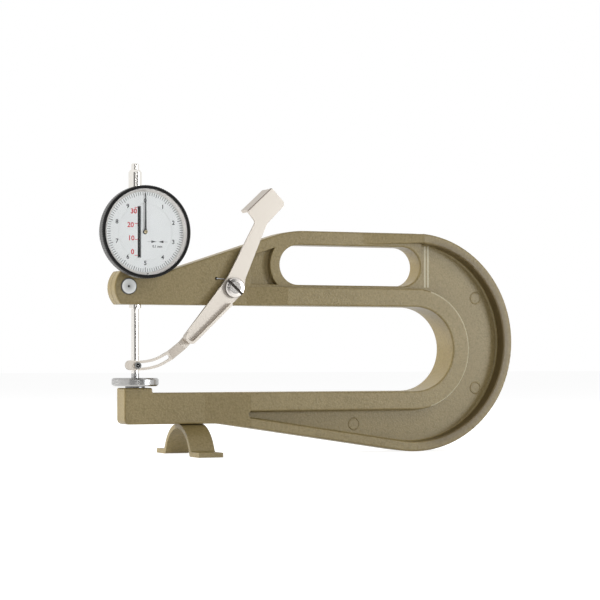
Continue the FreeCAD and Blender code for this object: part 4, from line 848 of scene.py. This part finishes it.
studio_world(0.28)


def soft_lamp(name, place, target, size, power, mirrored, tint=(1, 1, 1)):
    """A round lamp. Metal shows its reflection only where that is asked for."""
    lamp = bpy.data.lights.new(name, "AREA")
    lamp.shape = "DISK"
    lamp.size = size
    lamp.energy = power
    lamp.color = tint
    holder = bpy.data.objects.new(name, lamp)
    holder.location = place
    holder.rotation_euler = (Vector(target) - Vector(place)).to_track_quat("-Z", "Y").to_euler()
    holder.visible_glossy = mirrored
    bpy.context.scene.collection.objects.link(holder)


GAUGE_MIDDLE = (0.0, 0.0, 0.09)
soft_lamp("key_lamp", (0.43, -0.745, 0.69), GAUGE_MIDDLE, 0.45, 2.1, False)
soft_lamp("front_lamp", (-0.20, -1.20, 0.25), GAUGE_MIDDLE, 0.3, 2.0, True)
soft_lamp("sheen_lamp", (0.80, -0.95, 0.12), (0.12, 0.0, 0.09), 0.4, 5.8, True, (0.9, 0.95, 1.0))
soft_lamp("side_lamp", (-1.20, 0.60, 0.42), GAUGE_MIDDLE, 0.8, 23, False)
soft_lamp("back_lamp", (0.3, 1.0, 0.8), GAUGE_MIDDLE, 0.8, 8, False)


# Flags: two cards that only polished metal sees, so that it shows a dark stripe. The
# grey one stands a little to the left of the camera's line, and the black one straight
# in front of the gauge. Neither is part of the object.
DARK_TURN = math.radians(-86)
GREY_TURN = math.radians(-122)
FLAG_REACH = 0.8
FLAG_HEIGHT = 0.7
FLAG_MIDDLE = 0.15


def flag(name, turn, width, strength):
    """An upright card round the gauge that glows by itself, from black to grey."""
    shade = Finish(name, (0.0, 0.0, 0.0, 1.0), 1.0)
    shade.set("Emission Color", (1, 1, 1, 1))
    shade.set("Emission Strength", strength)
    place = (FLAG_REACH * math.cos(turn), FLAG_REACH * math.sin(turn), FLAG_MIDDLE)
    lean = Matrix.Rotation(turn - math.radians(90), 4, "Z") @ Matrix.Rotation(math.radians(90), 4, "X")
    size = Matrix.Diagonal((width / 2, FLAG_HEIGHT / 2, 1, 1))
    where = Matrix.Translation(place) @ lean @ size
    card = bmesh.new()
    bmesh.ops.create_grid(card, x_segments=1, y_segments=1, size=1, matrix=where)
    board = as_object(name, card, shade)
    board.visible_camera = False
    board.visible_diffuse = False
    board.visible_shadow = False


flag("dark_flag", DARK_TURN, 0.42, 0.0)
flag("grey_flag", GREY_TURN, 0.56, 0.24)


# Camera: level, to the left of the dial, with a long lens. The lens shift only sets the
# horizon where the photograph has it.
camera = bpy.data.cameras.new("camera")
camera.lens = 126.0
camera.sensor_width = 36.0
camera.shift_y = 0.0917
camera.clip_start = 0.05
viewer = bpy.data.objects.new("camera", camera)
viewer.location = (-0.544, -1.272, 0.0643)
viewer.rotation_euler = Vector((0.3907, 0.9205, 0.0)).to_track_quat("-Z", "Y").to_euler()
bpy.context.scene.collection.objects.link(viewer)
bpy.context.scene.camera = viewer
bpy.context.scene.view_settings.view_transform = "Standard"
